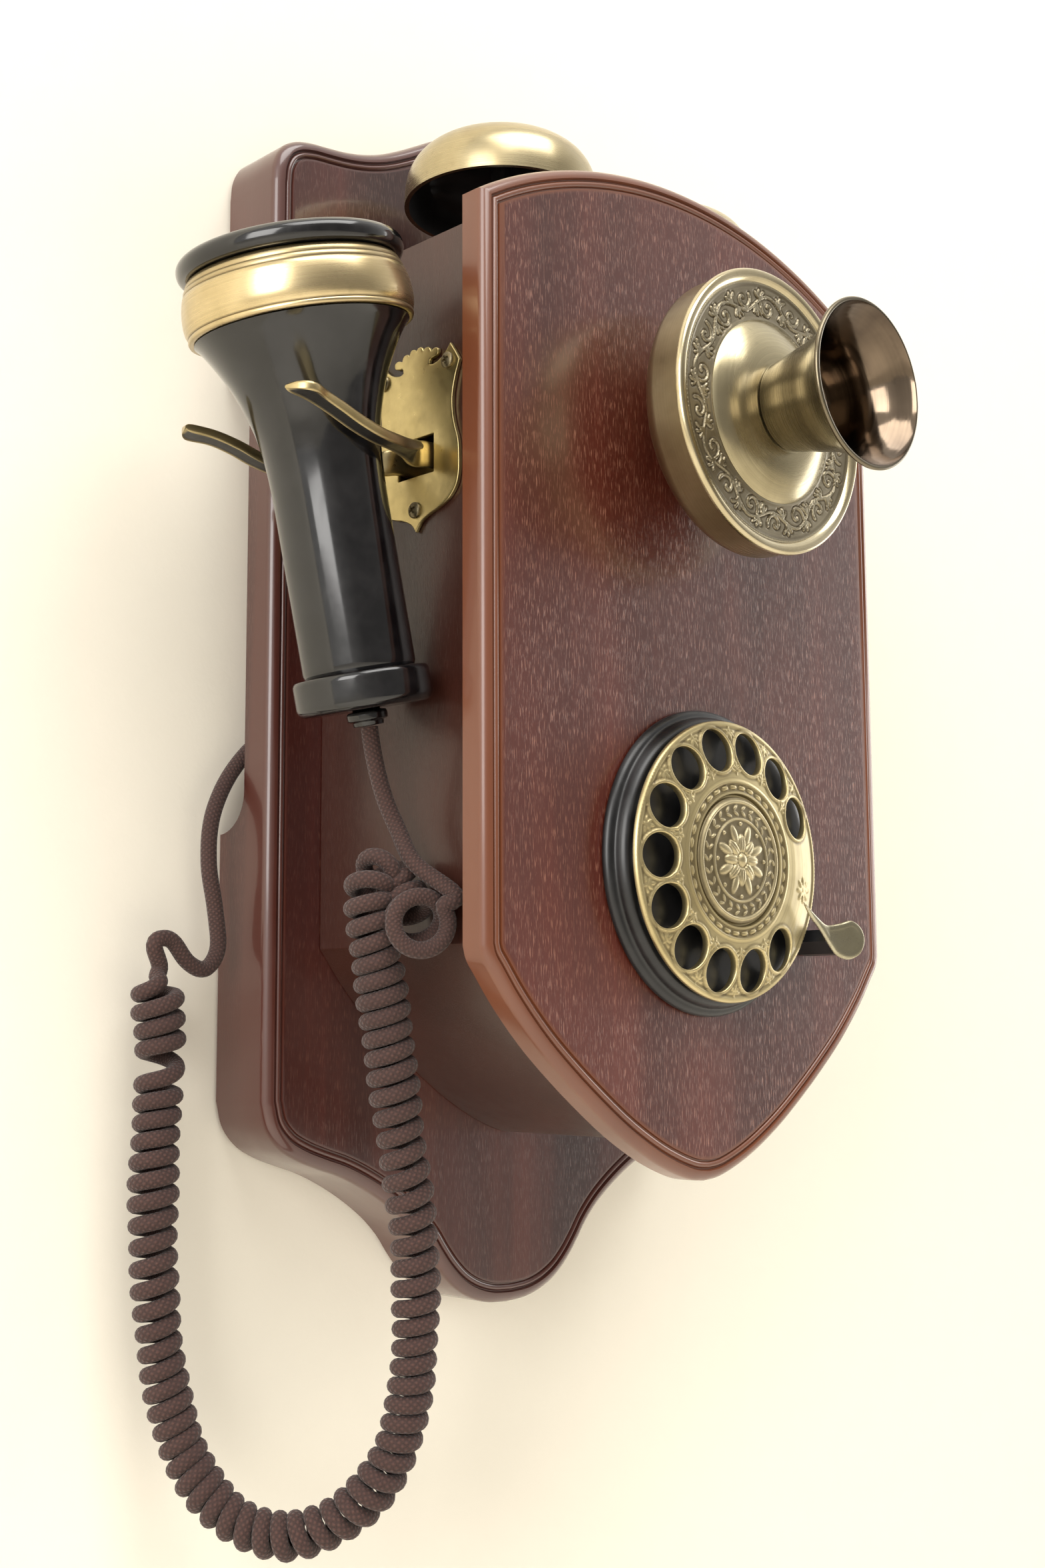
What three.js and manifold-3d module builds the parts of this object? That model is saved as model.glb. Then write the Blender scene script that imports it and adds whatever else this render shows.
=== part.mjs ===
// Antique-style wall telephone: wooden back board and case, brass bells, mouthpiece and finger
// wheel, a black receiver hanging on a brass hook, and its curly cord.
// Units are millimetres, +Z is up, the front faces -Y and the wall is the plane Y = 0.
// The origin lies on the back face of the board, in the middle of its height.
import * as THREE from 'three';
import { mergeVertices } from 'three/addons/utils/BufferGeometryUtils.js';
import Module from 'manifold-3d';

const wasm = await Module();
wasm.setup();

// ---- driving dimensions -------------------------------------------------------------------
const GAP = 0.3;                 // clearance between touching pieces
const REAR_T = 13;               // rear layer of the board
const BOARD_T = 13.7;            // front layer of the board
const BOARD_Y = -REAR_T - GAP;   // back face of the front layer
const BOARD_FACE = BOARD_Y - BOARD_T;   // front face of the board, Y = -27
const BOARD_HALF = 107;          // half width of the board
const CASE_HALF = 86;            // half width of the case
const WALL = 8;                  // thickness of the case walls
const CASE_BACK = BOARD_FACE - GAP;
const CASE_FRONT = -106.7;
const CASE_TOP = 131.5;
const CASE_LOW = -95;            // where the straight sides end
const PANEL_BACK = -107;
const PANEL_FACE = -117;
const PANEL_HALF = 97.6;
const BEAD = 3.2;                // radius of the bead round the panel edges
const BELL = { x: 42, y: -67, z: 159.4, r: 33, h: 23, wall: 1.4 };
const MOUTH_Z = 78;              // height of the mouthpiece axis
const DIAL_Z = -65;              // height of the dial axis
const HOLES = 12;
const HOLE_R = 6.8;
const HOLE_CIRCLE = 35.6;
const HOLE_STEP = 25.67;         // degrees between finger holes
const HOLE_FIRST = 26.2;         // degrees of the first hole, from +X towards +Z
const HOOK_Y = -75;              // middle of the hook lever
const HOOK_PIVOT = [-60, 60];    // X, Z of the hook hinge
const TILT = THREE.MathUtils.degToRad(13);   // lean of the hanging receiver
const RECEIVER = [-108.3, HOOK_Y, -16];      // middle of the receiver's lower cap
const CORD_D = 5;
const COIL_D = 14;

// ---- materials ----------------------------------------------------------------------------
const paint = (color, roughness, metalness = 0) =>
  new THREE.MeshStandardMaterial({ color, roughness, metalness });
const wood = () => paint(0x6b3527, 0.3);
const darkWood = () => paint(0x4a2219, 0.25);
const brass = () => paint(0xb89b5c, 0.35, 1);
const black = () => paint(0x161618, 0.2);
const steel = () => paint(0x9a9c9e, 0.4, 1);
const copper = () => paint(0xa05a32, 0.4, 1);
const fabric = () => paint(0x5b3a30, 0.9);

// ---- helpers ------------------------------------------------------------------------------
function solid(geometry) {
  const g = geometry.index && !geometry.attributes.normal ? geometry : geometry.clone();
  g.deleteAttribute('normal');
  g.deleteAttribute('uv');
  const m = mergeVertices(g, 1e-4);
  const vertProperties = new Float32Array(m.attributes.position.array);
  const tris = [];
  const index = m.index.array;
  for (let i = 0; i < index.length; i += 3) {
    const [a, b, c] = [index[i], index[i + 1], index[i + 2]];
    if (a !== b && b !== c && c !== a) tris.push(a, b, c);
  }
  const p = vertProperties;
  let volume = 0;
  for (let i = 0; i < tris.length; i += 3) {
    const [a, b, c] = [tris[i] * 3, tris[i + 1] * 3, tris[i + 2] * 3];
    volume += p[a] * (p[b + 1] * p[c + 2] - p[b + 2] * p[c + 1])
      - p[a + 1] * (p[b] * p[c + 2] - p[b + 2] * p[c])
      + p[a + 2] * (p[b] * p[c + 1] - p[b + 1] * p[c]);
  }
  if (volume < 0) for (let i = 0; i < tris.length; i += 3) [tris[i], tris[i + 1]] = [tris[i + 1], tris[i]];
  return new wasm.Manifold(new wasm.Mesh({ numProp: 3, vertProperties, triVerts: new Uint32Array(tris) }));
}

function toGeometry(manifold) {
  const m = manifold.getMesh();
  const g = new THREE.BufferGeometry();
  g.setAttribute('position', new THREE.BufferAttribute(new Float32Array(m.vertProperties), 3));
  g.setIndex(new THREE.BufferAttribute(new Uint32Array(m.triVerts), 1));
  g.computeVertexNormals();
  return g;
}

const phone = new THREE.Group();
function add(name, body, material) {
  const mesh = new THREE.Mesh(toGeometry(body), material);
  mesh.name = name;
  phone.add(mesh);
  return mesh;
}

const box = (x0, x1, y0, y1, z0, z1) =>
  solid(new THREE.BoxGeometry(x1 - x0, y1 - y0, z1 - z0)
    .translate((x0 + x1) / 2, (y0 + y1) / 2, (z0 + z1) / 2));

// outline in X and Z, from yBack forward to yFront
function slab(outline, yBack, yFront, holes = []) {
  const shape = new THREE.Shape(outline.map(([x, z]) => new THREE.Vector2(x, z)));
  for (const h of holes) shape.holes.push(new THREE.Path(h.map(([x, z]) => new THREE.Vector2(x, z))));
  const g = new THREE.ExtrudeGeometry(shape, { depth: yBack - yFront, bevelEnabled: false });
  return solid(g.rotateX(Math.PI / 2).translate(0, yBack, 0));
}

// the same with a quarter-round bead of radius r round its front edge
function beaded(outline, yBack, yFront, r) {
  const steps = 2;
  const shape = new THREE.Shape(outline.map(([x, z]) => new THREE.Vector2(x, z)));
  const g = new THREE.ExtrudeGeometry(shape, { depth: steps + 1, steps: steps + 1, bevelEnabled: false });
  const rings = Array.from({ length: steps + 1 }, (_, k) => inset(outline, r * (1 - Math.cos(k / steps * Math.PI / 2))));
  const p = g.attributes.position;
  for (let i = 0; i < p.count; i++) {
    const layer = Math.round(p.getZ(i));
    const k = outline.findIndex(([x, z]) => Math.hypot(x - p.getX(i), z - p.getY(i)) < 1e-3);
    const [x, z] = layer ? rings[layer - 1][k] : outline[k];
    const y = layer ? yFront + r * (1 - Math.sin((layer - 1) / steps * Math.PI / 2)) : yBack;
    p.setXYZ(i, x, y, z);
  }
  return solid(g);
}

// profile points are [radius, height above the face], turned about an axis along Y
function turnY(profile, x, yFace, z, seg = 16) {
  const g = new THREE.LatheGeometry(profile.map(([r, h]) => new THREE.Vector2(r, h)), seg);
  return solid(g.rotateX(Math.PI).translate(x, yFace, z));
}

// profile points are [radius, height], turned about an axis along Z
function turnZ(profile, x, y, z, seg = 16) {
  const g = new THREE.LatheGeometry(profile.map(([r, h]) => new THREE.Vector2(r, h)), seg);
  return solid(g.rotateX(Math.PI / 2).translate(x, y, z));
}

const rod = (r, h0, h1) => [[0, h0], [r, h0], [r, h1], [0, h1]];
const ring = (r0, r1, h0, h1) => [[r0, h0], [r1, h0], [r1, h1], [r0, h1], [r0, h0]];

// closed outline from its right half; the half starts and ends on the middle line
const mirror = (half) => [...half, ...half.slice(1, -1).reverse().map(([x, z]) => [-x, z])];

// moves each point of a closed outline inward along its normal
function inset(outline, d) {
  const n = outline.length;
  let area = 0;
  for (let i = 0; i < n; i++) {
    const [a, b] = [outline[i], outline[(i + 1) % n]];
    area += a[0] * b[1] - b[0] * a[1];
  }
  const s = area > 0 ? 1 : -1;
  return outline.map((p, i) => {
    const a = outline[(i + n - 1) % n];
    const b = outline[(i + 1) % n];
    const u = new THREE.Vector2(p[0] - a[0], p[1] - a[1]).normalize();
    const v = new THREE.Vector2(b[0] - p[0], b[1] - p[1]).normalize();
    const nrm = new THREE.Vector2(-(u.y + v.y), u.x + v.x);
    const k = s * d / Math.max(0.35, (1 + u.dot(v)) / 2) / 2;
    return [p[0] + nrm.x * k, p[1] + nrm.y * k];
  });
}

// the same, without the points that would fold over in a tight bend
function innerLine(outline, d) {
  const a = new THREE.Vector3();
  const b = new THREE.Vector3();
  const near = new THREE.Vector3();
  const clear = ([x, z]) => outline.every((p, i) => {
    const q = outline[(i + 1) % outline.length];
    const line = new THREE.Line3(a.set(p[0], p[1], 0), b.set(q[0], q[1], 0));
    const at = new THREE.Vector3(x, z, 0);
    return line.closestPointToPoint(at, true, near).distanceTo(at) > d - 0.02;
  });
  return inset(outline, d).filter(clear);
}

function smooth(points, count) {
  const curve = new THREE.SplineCurve(points.map(([x, z]) => new THREE.Vector2(x, z)));
  return curve.getSpacedPoints(count).map((p) => [p.x, p.y]);
}

// tube of a round section along a smooth path
function tube(points, d, sides, steps) {
  const curve = new THREE.CatmullRomCurve3(points.map((p) => new THREE.Vector3(...p)), false, 'centripetal');
  const section = new THREE.Shape();
  for (let i = 0; i < sides; i++) {
    const a = (i / sides) * 2 * Math.PI;
    const p = [Math.cos(a) * d / 2, Math.sin(a) * d / 2];
    if (i) section.lineTo(...p); else section.moveTo(...p);
  }
  section.closePath();
  return solid(new THREE.ExtrudeGeometry(section, { steps, extrudePath: curve, bevelEnabled: false }));
}

// ---- outlines -----------------------------------------------------------------------------
// back board: ogee foot running down to a round tongue, and a low crest with round shoulders
const boardFoot = smooth([[0, -212.6], [9, -211.9], [17, -209.6], [24, -205.8], [30, -200.5], [35, -194.6],
  [39.5, -188.6], [46, -182.2], [56, -175], [66, -169.3], [75, -165.2], [84, -162.2], [92, -159.2],
  [99, -155.3], [104.5, -149], [BOARD_HALF, -140.5]], 17);
const boardHead = smooth([[BOARD_HALF, 163], [106.2, 170], [103.3, 175.8], [98.5, 179.4], [92, 181.3],
  [84.5, 182.2], [77, 183.2], [69, 185], [60.5, 188], [51.8, 192.3], [43, 197.3], [34.8, 202], [26, 206],
  [17.5, 209], [9, 210.8], [0, 211.4]], 15);
const boardOutline = mirror([...boardFoot, ...boardHead]);

// front panel: arched head, straight sides, and a shield-shaped foot with a rounded tip
const foot = [[0, -165.8], [6, -165.2], [13, -163.2], [22, -159.6], [31, -155], [40, -149.6], [51, -141.9],
  [63, -132.7], [75, -122.4], [86.5, -110.3], [93, -102], [96.4, -97.4], [PANEL_HALF, -93.5]];
const arch = [];
for (let i = 0; i <= 11; i++) {
  const u = 1 - i / 11;
  arch.push([u * 97.2, 161 - 25.9 * u ** 2 - 1.3 * u ** 4 - 0.9 * u ** 8]);
}
const panelOutline = mirror([...smooth(foot, 17), [PANEL_HALF, 131.5], ...arch]);

// foot of the case: the same curve drawn in by the overhang
const caseFoot = (d) => {
  const whole = innerLine(mirror([...smooth(foot, 17), [PANEL_HALF, 60], [0, 60]]), d);
  const line = whole.filter(([x, z]) => x > -0.01 && z < 30);
  line.push([line.at(-1)[0], -80]);
  return [...line.slice(1).reverse().map(([x, z]) => [-x, z]), ...line];
};

// ---- wooden body --------------------------------------------------------------------------
// moulded edge: a bead, a groove and a fine line run round the face
function moulded(outline, yBack, yFront, bead, grooves) {
  let body = beaded(outline, yBack, yFront, bead);
  for (const [from, to, depth] of grooves) {
    body = body.subtract(slab(innerLine(outline, from), yFront + depth, yFront - 5, [innerLine(outline, to)]));
  }
  return body;
}

function scoop(side) {
  // cut from the wall side, with round ends, so that the cord can pass behind the board
  const shape = new THREE.Shape();
  shape.moveTo(-0.2, -54).lineTo(2, -54).lineTo(2, 101).lineTo(-0.2, 101);
  shape.absarc(-0.2, 87, 14, Math.PI / 2, Math.PI, false);
  shape.lineTo(-14.2, -40);
  shape.absarc(-0.2, -40, 14, Math.PI, 1.5 * Math.PI, false);
  const g = new THREE.ExtrudeGeometry(shape, { depth: 34, bevelEnabled: false, curveSegments: 10 });
  // shape X is the frame's Y and shape Y is the frame's Z
  g.applyMatrix4(new THREE.Matrix4().makeBasis(new THREE.Vector3(0, 1, 0), new THREE.Vector3(0, 0, 1),
    new THREE.Vector3(1, 0, 0)));
  return solid(g).translate([side > 0 ? BOARD_HALF - 24 : -BOARD_HALF - 10, 0, 0]);
}

let rear = slab(boardOutline, 0, -REAR_T);
for (const side of [-1, 1]) rear = rear.subtract(scoop(side));
rear = rear.subtract(box(-17.3, 17.3, -3.3, 5, 150.7, 179.3));
// lead-in for the cord: a bore from the scoop to a pocket behind the case
rear = rear.subtract(turnY(rod(4.3, 0, 20), 0, 0, 0, 16).rotate([0, 0, 90]).translate([-84, -6.6, -20]))
  .subtract(box(-72, -58, -20, -2.6, -27, -13));
add('board_rear_layer', rear, darkWood());

const board = moulded(boardOutline, BOARD_Y, BOARD_FACE, 3.6, []);
add('board_front', board.subtract(turnY(rod(4, 0, 40), -65, 0, -20)), darkWood());

const slot = [[-8.3, -6.1], [8.3, -6.1], [8.3, 6.1], [-8.3, 6.1]];
const sideWall = (s) => box(s > 0 ? CASE_HALF - WALL : -CASE_HALF, s > 0 ? CASE_HALF : -CASE_HALF + WALL,
  CASE_FRONT, CASE_BACK, CASE_LOW, CASE_TOP);
add('case_side_left', sideWall(-1).subtract(box(-95, -70, HOOK_Y - 8.3, HOOK_Y + 8.3, 52.4, 68.6)), wood());
add('case_side_right', sideWall(1), wood());

const topHalf = CASE_HALF - WALL - GAP;
add('case_top', box(-topHalf, topHalf, CASE_FRONT, CASE_BACK, CASE_TOP - WALL, CASE_TOP)
  .subtract(box(-5, 5, -71, -63, 100, 150)), wood());

const outerFoot = caseFoot(PANEL_HALF - CASE_HALF);
const innerFoot = caseFoot(PANEL_HALF - CASE_HALF + WALL);
add('case_foot', slab([...outerFoot, ...innerFoot.slice().reverse()], CASE_BACK, CASE_FRONT)
  .subtract(box(-200, 200, -150, 10, CASE_LOW - GAP, 100)), wood());

const panel = moulded(panelOutline, PANEL_BACK, PANEL_FACE, BEAD, [[3.9, 5.2, 1.2]])
  .subtract(turnY(rod(32, -20, 10), 0, PANEL_FACE, DIAL_Z, 40))
  .subtract(turnY(rod(6, -20, 10), 0, PANEL_FACE, MOUTH_Z, 24));
add('front_panel', panel, wood());

// ---- bells --------------------------------------------------------------------------------
function bellProfile() {
  const outer = [];
  const inner = [];
  for (let i = 0; i <= 6; i++) {
    const a = (i / 6) * Math.PI / 2;
    const c = Math.cos(a) ** (2 / 2.3);
    const s = Math.sin(a) ** (2 / 2.3);
    outer.push([Math.max(BELL.r * c, 2.3), BELL.h * s]);
    inner.push([Math.max((BELL.r - BELL.wall) * c, 2.3), (BELL.h - BELL.wall) * s]);
  }
  return [...outer, ...inner.reverse(), outer[0]];
}
for (const [side, s] of [['left', -1], ['right', 1]]) {
  const x = s * BELL.x;
  const top = BELL.z - CASE_TOP + BELL.h;
  add(`bell_gong_${side}`, turnZ(bellProfile(), x, BELL.y, BELL.z, 26), brass());
  add(`bell_post_${side}`, turnZ([[0, GAP], [7, GAP], [7, 2.5], [3.5, 4], [3.5, top - BELL.wall - GAP],
    [1.9, top - BELL.wall - GAP], [1.9, top + 3], [0, top + 3]], x, BELL.y, CASE_TOP, 14), steel());
  add(`bell_nut_${side}`, turnZ([[2.2, GAP], [4.2, GAP], [4.2, 1.6], [3, 2.6], [2.2, 2.6], [2.2, GAP]],
    x, BELL.y, BELL.z + BELL.h, 14), brass());
}

// ringer below the case top: two coils, a yoke, a bridge with the pin, and the clapper
const PIN_Z = 117;
let yoke = box(-34, 34, -76, -58, 92, 95);
for (const s of [-1, 1]) yoke = yoke.add(box(s * 32.5 - 1.5, s * 32.5 + 1.5, -76, -58, 92, CASE_TOP - WALL - GAP));
add('ringer_yoke', yoke, steel());
for (const [side, s] of [['left', -1], ['right', 1]]) {
  add(`ringer_coil_${side}`, turnZ([[0, 0], [8.5, 0], [8.5, 2], [7.6, 2], [7.6, 16], [8.5, 16], [8.5, 18], [3, 18],
    [3, 19], [0, 19]], s * 18, BELL.y, 95 + GAP, 16), copper());
}
let bridge = box(-7, 7, -81, -53, CASE_TOP - WALL - GAP - 2, CASE_TOP - WALL - GAP);
for (const y of [-80, -54]) bridge = bridge.add(box(-7, 7, y - 1, y + 1, 113, CASE_TOP - WALL - GAP));
bridge = bridge.subtract(box(-5, 5, -71, -63, 100, 150))
  .subtract(turnY(rod(1.5, -60, 120), 0, 0, PIN_Z, 16));
add('ringer_bridge', bridge, steel());
add('ringer_pin', turnY(rod(1.2, 52.5, 81.5), 0, 0, PIN_Z, 16), steel());
const hammer = turnZ(rod(1.3, 0, 48), 0, BELL.y, PIN_Z + 1, 10)
  .add(solid(new THREE.SphereGeometry(4.5, 12, 8).translate(0, BELL.y, 166)))
  .add(box(-25, 25, BELL.y - 4, BELL.y + 4, 116.6, 119.4))
  .add(box(-4, 4, BELL.y - 4, BELL.y + 4, 114.5, 119.4))
  .subtract(turnY(rod(1.5, -60, 120), 0, 0, PIN_Z, 16));
add('clapper', hammer, brass());

// ---- mouthpiece ---------------------------------------------------------------------------
const mouth = (profile, seg = 28) => turnY(profile, 0, PANEL_FACE, MOUTH_Z, seg);
add('transmitter_shell', mouth([[6.5, GAP], [21, GAP], [31, 6.5], [39, 12], [44.2, 16.5], [45.2, 19],
  [45.2, 29.6], [43.4, 29.6], [43.2, 19.4], [37.5, 13.8], [29.5, 8.4], [21.4, 4.4], [6.5, 4.2],
  [6.5, GAP]]), brass());
add('transmitter_bezel', mouth([[41, 29.9], [46, 29.9], [46.4, 31.2], [45, 32.4], [42.6, 31.1], [41, 30.9], [41, 29.9]]), brass());
add('transmitter_face', mouth([[9, 28.6], [40.7, 28.6], [40.7, 31], [30, 31], [27.5, 33.3], [23.4, 35.4], [14.5, 37], [9, 37], [9, 28.6]]), brass());
add('mouthpiece_horn', mouth([[8, 37.3], [14.3, 37.3], [15.4, 41.5], [17.6, 52], [19.4, 58],
  [21.8, 62.4], [24.6, 66.2], [26.5, 68.2], [25.6, 68.7], [21.2, 63.8],
  [17.6, 57], [14.8, 46], [12, 41.4], [8, 38.8], [8, 37.3]]), brass());
add('microphone', mouth(rod(22, 16, 26)), steel());

// ---- dial ---------------------------------------------------------------------------------
const dial = (profile, seg = 28) => turnY(profile, 0, PANEL_FACE, DIAL_Z, seg);
add('dial_base', dial([[11, GAP], [49.3, GAP], [49.3, 2.4], [46.6, 3], [46.5, 5.2],
  [44.6, 5.7], [44.4, 7.6], [11, 7.6], [11, GAP]]), black());
let wheel = dial([[9.6, 11.6], [25.4, 12.6], [43.4, 8.7], [45, 9.2], [45, 10.6],
  [43.4, 11.3], [25.4, 14.5], [21.4, 14.6], [20.9, 13.2], [9.6, 13.2], [9.6, 11.6]]);
for (let i = 0; i < HOLES; i++) {
  const a = THREE.MathUtils.degToRad(HOLE_FIRST + HOLE_STEP * i);
  wheel = wheel.subtract(turnY(rod(HOLE_R, 0, 30), HOLE_CIRCLE * Math.cos(a), PANEL_FACE,
    DIAL_Z + HOLE_CIRCLE * Math.sin(a), 14));
}
add('finger_wheel', wheel, brass());
add('dial_medallion', dial([[0, 13.5], [20.3, 13.5], [19.6, 15], [10, 15.8], [0, 16]], 32),
  brass());
add('dial_shaft', dial([[0, -24], [3, -24], [3, -12.4], [9, -12.4], [9, 13.2], [0, 13.2]], 24), steel());
// gear on the shaft and the pulse pinion that it drives, three turns to one
function gear(teeth, r, h0, h1, bore, x) {
  const points = [];
  for (let i = 0; i < teeth * 2; i++) {
    const a = (i / (teeth * 2)) * 2 * Math.PI;
    const rr = r + (i % 2 ? -0.85 : 0.55);
    points.push([rr * Math.cos(a), rr * Math.sin(a)]);
  }
  return slab(points, PANEL_FACE - h0, PANEL_FACE - h1)
    .subtract(turnY(rod(bore, h0 - 5, h1 + 5), 0, PANEL_FACE, 0, 20)).translate([x, 0, DIAL_Z]);
}
const PINION_X = 20.8;
add('dial_gear', gear(27, 15.6, -16.5, -14.5, 3.3, 0), brass());
add('pulse_pinion', gear(9, 5.2, -16.8, -14.2, 1.5, PINION_X), steel());
add('return_spring', dial(ring(3.6, 7.4, -22.5, -18.5), 24), steel());
add('dial_housing', dial([[3.4, -30.4], [31, -30.4], [31, 0], [29, 0], [29, -28.4], [3.4, -28.4], [3.4, -30.4]], 24)
  .add(dial(ring(7.8, 9.8, -28.6, -17.6), 24))
  .add(turnY(rod(1.2, -29, -13.6), PINION_X, PANEL_FACE, DIAL_Z, 14)), steel());

// finger stop: a brass blade with a round lobe on a black foot
const stop = smooth([[31.2, -12.2], [37.5, -16.5], [43, -19.2], [48.6, -18.6], [53.4, -17.6], [57, -20.2],
  [58.2, -24.2], [56.4, -28.6], [52, -30.6], [47.2, -29.2], [43.6, -25], [39, -20.4], [34.5, -16.6], [31.2, -12.2]], 30)
  .slice(0, -1).map(([x, z]) => [x, z + DIAL_Z]);
add('finger_stop', slab(stop, PANEL_FACE - 15.4, PANEL_FACE - 16.8), brass());
add('finger_stop_foot', slab([[46, -20.6], [54.6, -20.6], [56, -24.4], [53, -29], [48.6, -28.6], [43.6, -24.6]]
  .map(([x, z]) => [x, z + DIAL_Z]), PANEL_FACE - GAP, PANEL_FACE - 15.1)
  .subtract(turnY(rod(49.8, -5, 20), 0, PANEL_FACE, DIAL_Z, 64)), black());

// ---- hook switch --------------------------------------------------------------------------
const PLATE_X = -CASE_HALF - GAP;
const onSide = (outline, x0, x1, holes = []) => {
  // outline in Y and Z on the left side of the case
  const shape = new THREE.Shape(outline.map(([y, z]) => new THREE.Vector2(y, z)));
  for (const h of holes) shape.holes.push(new THREE.Path(h.map(([y, z]) => new THREE.Vector2(y, z))));
  const g = new THREE.ExtrudeGeometry(shape, { depth: Math.abs(x1 - x0), bevelEnabled: false });
  g.applyMatrix4(new THREE.Matrix4().makeBasis(new THREE.Vector3(0, 1, 0), new THREE.Vector3(0, 0, 1),
    new THREE.Vector3(1, 0, 0)));
  return solid(g).translate([Math.min(x0, x1), 0, 0]);
};
const circle = (y, z, r, n) => Array.from({ length: n }, (_, i) => {
  const a = -(i / n) * 2 * Math.PI;
  return [y + r * Math.cos(a), z + r * Math.sin(a)];
});
const plateHalf = [[0, 36.4], [2.4, 39], [6, 41.2], [11, 42.6], [15.4, 44.6], [18.6, 47.6], [19.9, 51.5],
  [19.9, 61.6], [18.2, 66.4], [16.9, 71], [16.9, 77.2], [18.2, 82], [19.9, 87], [18.6, 91], [15.9, 93.6],
  [13.2, 91.6], [10, 89.8], [6.6, 89.2], [7.6, 91.2], [10, 92], [9.4, 94], [6.2, 93.6], [4, 95.4], [1.6, 94.8],
  [0, 95.8]];
const plateOutline = mirror(plateHalf).map(([y, z]) => [y + HOOK_Y, z]);
const screwSpots = [[-15.2, 88.2], [15.2, 88.2], [0, 43.4]].map(([y, z]) => [y + HOOK_Y, z]);
add('hook_plate', onSide(plateOutline, PLATE_X, PLATE_X - 1.2, [
  slot.map(([y, z]) => [y + HOOK_Y, z + 60.4]).reverse(), ...screwSpots.map(([y, z]) => circle(y, z, 1.6, 16))]),
  brass());
screwSpots.forEach(([y, z], i) => {
  const head = turnZ([[0, 0], [1.3, 0], [1.3, 1.4], [2.6, 1.8], [2.4, 2.5], [0, 3.1]], 0, 0, 0, 14)
    .subtract(box(-3, 3, -0.35, 0.35, 2.4, 4));
  add(`hook_screw_${i + 1}`, head.rotate([0, -90, 0]).translate([PLATE_X, y, z]), brass());
});

// lever: two strips from the pivot block out through the slot, spreading round the receiver
const prong = smooth([[-88, 6.3], [-94, 6.9], [-101, 10.6], [-108, 15.6], [-115, 19], [-123, 20.6], [-131, 21],
  [-139, 21.8], [-146, 23.8], [-151.5, 26.8]], 18);
const stripHalf = 1.05;
function stripOutline() {
  const path = [[-57, 6.3], [-66, 6.3], [-77, 6.3], ...prong];
  const left = [];
  const right = [];
  path.forEach(([x, y], i) => {
    const a = path[Math.max(i - 1, 0)];
    const b = path[Math.min(i + 1, path.length - 1)];
    const l = Math.hypot(b[0] - a[0], b[1] - a[1]);
    const [nx, ny] = [-(b[1] - a[1]) / l, (b[0] - a[0]) / l];
    left.push([x + nx * stripHalf, y + ny * stripHalf]);
    right.push([x - nx * stripHalf, y - ny * stripHalf]);
  });
  return [...left, ...right.reverse()];
}
// height of the strip's middle along its reach, dipping in the cradle and rising to the tips
const dip = (x) => {
  const t = THREE.MathUtils.clamp((-88 - x) / 64, 0, 1);
  return 60 - 7.4 * Math.sin(Math.PI * Math.min(t / 0.98, 1)) ** 1.2 + 1.5 * t ** 3;
};
function strip(sign) {
  const shape = new THREE.Shape(stripOutline().map(([x, y]) => new THREE.Vector2(x, sign * y)));
  const g = new THREE.ExtrudeGeometry(shape, { depth: 1, bevelEnabled: false });
  const p = g.attributes.position;
  for (let i = 0; i < p.count; i++) {
    const x = p.getX(i);
    const t = THREE.MathUtils.clamp((-88 - x) / 64, 0, 1);
    const half = 4 - 1.4 * t ** 2;
    p.setZ(i, dip(x) + (p.getZ(i) - 0.5) * 2 * half);
    p.setY(i, p.getY(i) + HOOK_Y);
  }
  return solid(g);
}
const pivotHole = turnY(rod(1.8, -10, 130), HOOK_PIVOT[0], 0, HOOK_PIVOT[1], 18);
const lever = strip(1).add(strip(-1)).add(box(-72, -56, HOOK_Y - 7.3, HOOK_Y + 7.3, 56, 64))
  .add(box(-57, -44, HOOK_Y - 3, HOOK_Y + 3, 58, 62)).subtract(pivotHole);
add('hook_lever', lever, brass());
add('hook_pin', turnY(rod(1.5, 62, 88), HOOK_PIVOT[0], 0, HOOK_PIVOT[1], 18), steel());
let bracket = box(-CASE_HALF + WALL + GAP, -CASE_HALF + WALL + 2.3, -87.5, -62.5, 44, 78)
  .subtract(box(-80, -70, HOOK_Y - 8.3, HOOK_Y + 8.3, 50.4, 70.6));
for (const y of [-86.5, -63.5]) bracket = bracket.add(box(-77, -56, y - 1, y + 1, 55, 65));
bracket = bracket.add(box(-77.6, -64, HOOK_Y - 4, HOOK_Y + 4, 43.6, 45.3));
add('hook_bracket', bracket.subtract(pivotHole), steel());
add('hook_spring', turnZ(ring(1.6, 3, 0, 9.4), -70, HOOK_Y, 45.6, 20), steel());
add('hook_contacts', box(-46, -40, HOOK_Y - 7, HOOK_Y + 7, 30, 56.2), black());

// ---- receiver -----------------------------------------------------------------------------
// profiles are turned about the receiver's own axis, then leaned and hung in the hook
function receiver(profile, seg = 24) {
  const g = new THREE.LatheGeometry(profile.map(([r, h]) => new THREE.Vector2(r, h)), seg);
  g.rotateX(Math.PI / 2).rotateY(-TILT).translate(...RECEIVER);
  return solid(g);
}
add('receiver_tube', receiver([[3, 5.2], [17.1, 5.2], [17.1, 62], [17.8, 73], [20.4, 83.5],
  [24, 92], [28.4, 100.6], [32.6, 107.6], [31, 107.6], [26.4, 100.6],
  [21.8, 92], [17.9, 83], [14.8, 64], [14.8, 7.4], [3, 7.4], [3, 5.2]]), black());
add('receiver_band', receiver([[30, 107.9], [33.6, 107.9], [34.6, 112], [34.7, 116], [34, 121], [32.6, 125], [31.2, 127.2], [30, 127.2],
  [30, 107.9]]), brass());
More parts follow.
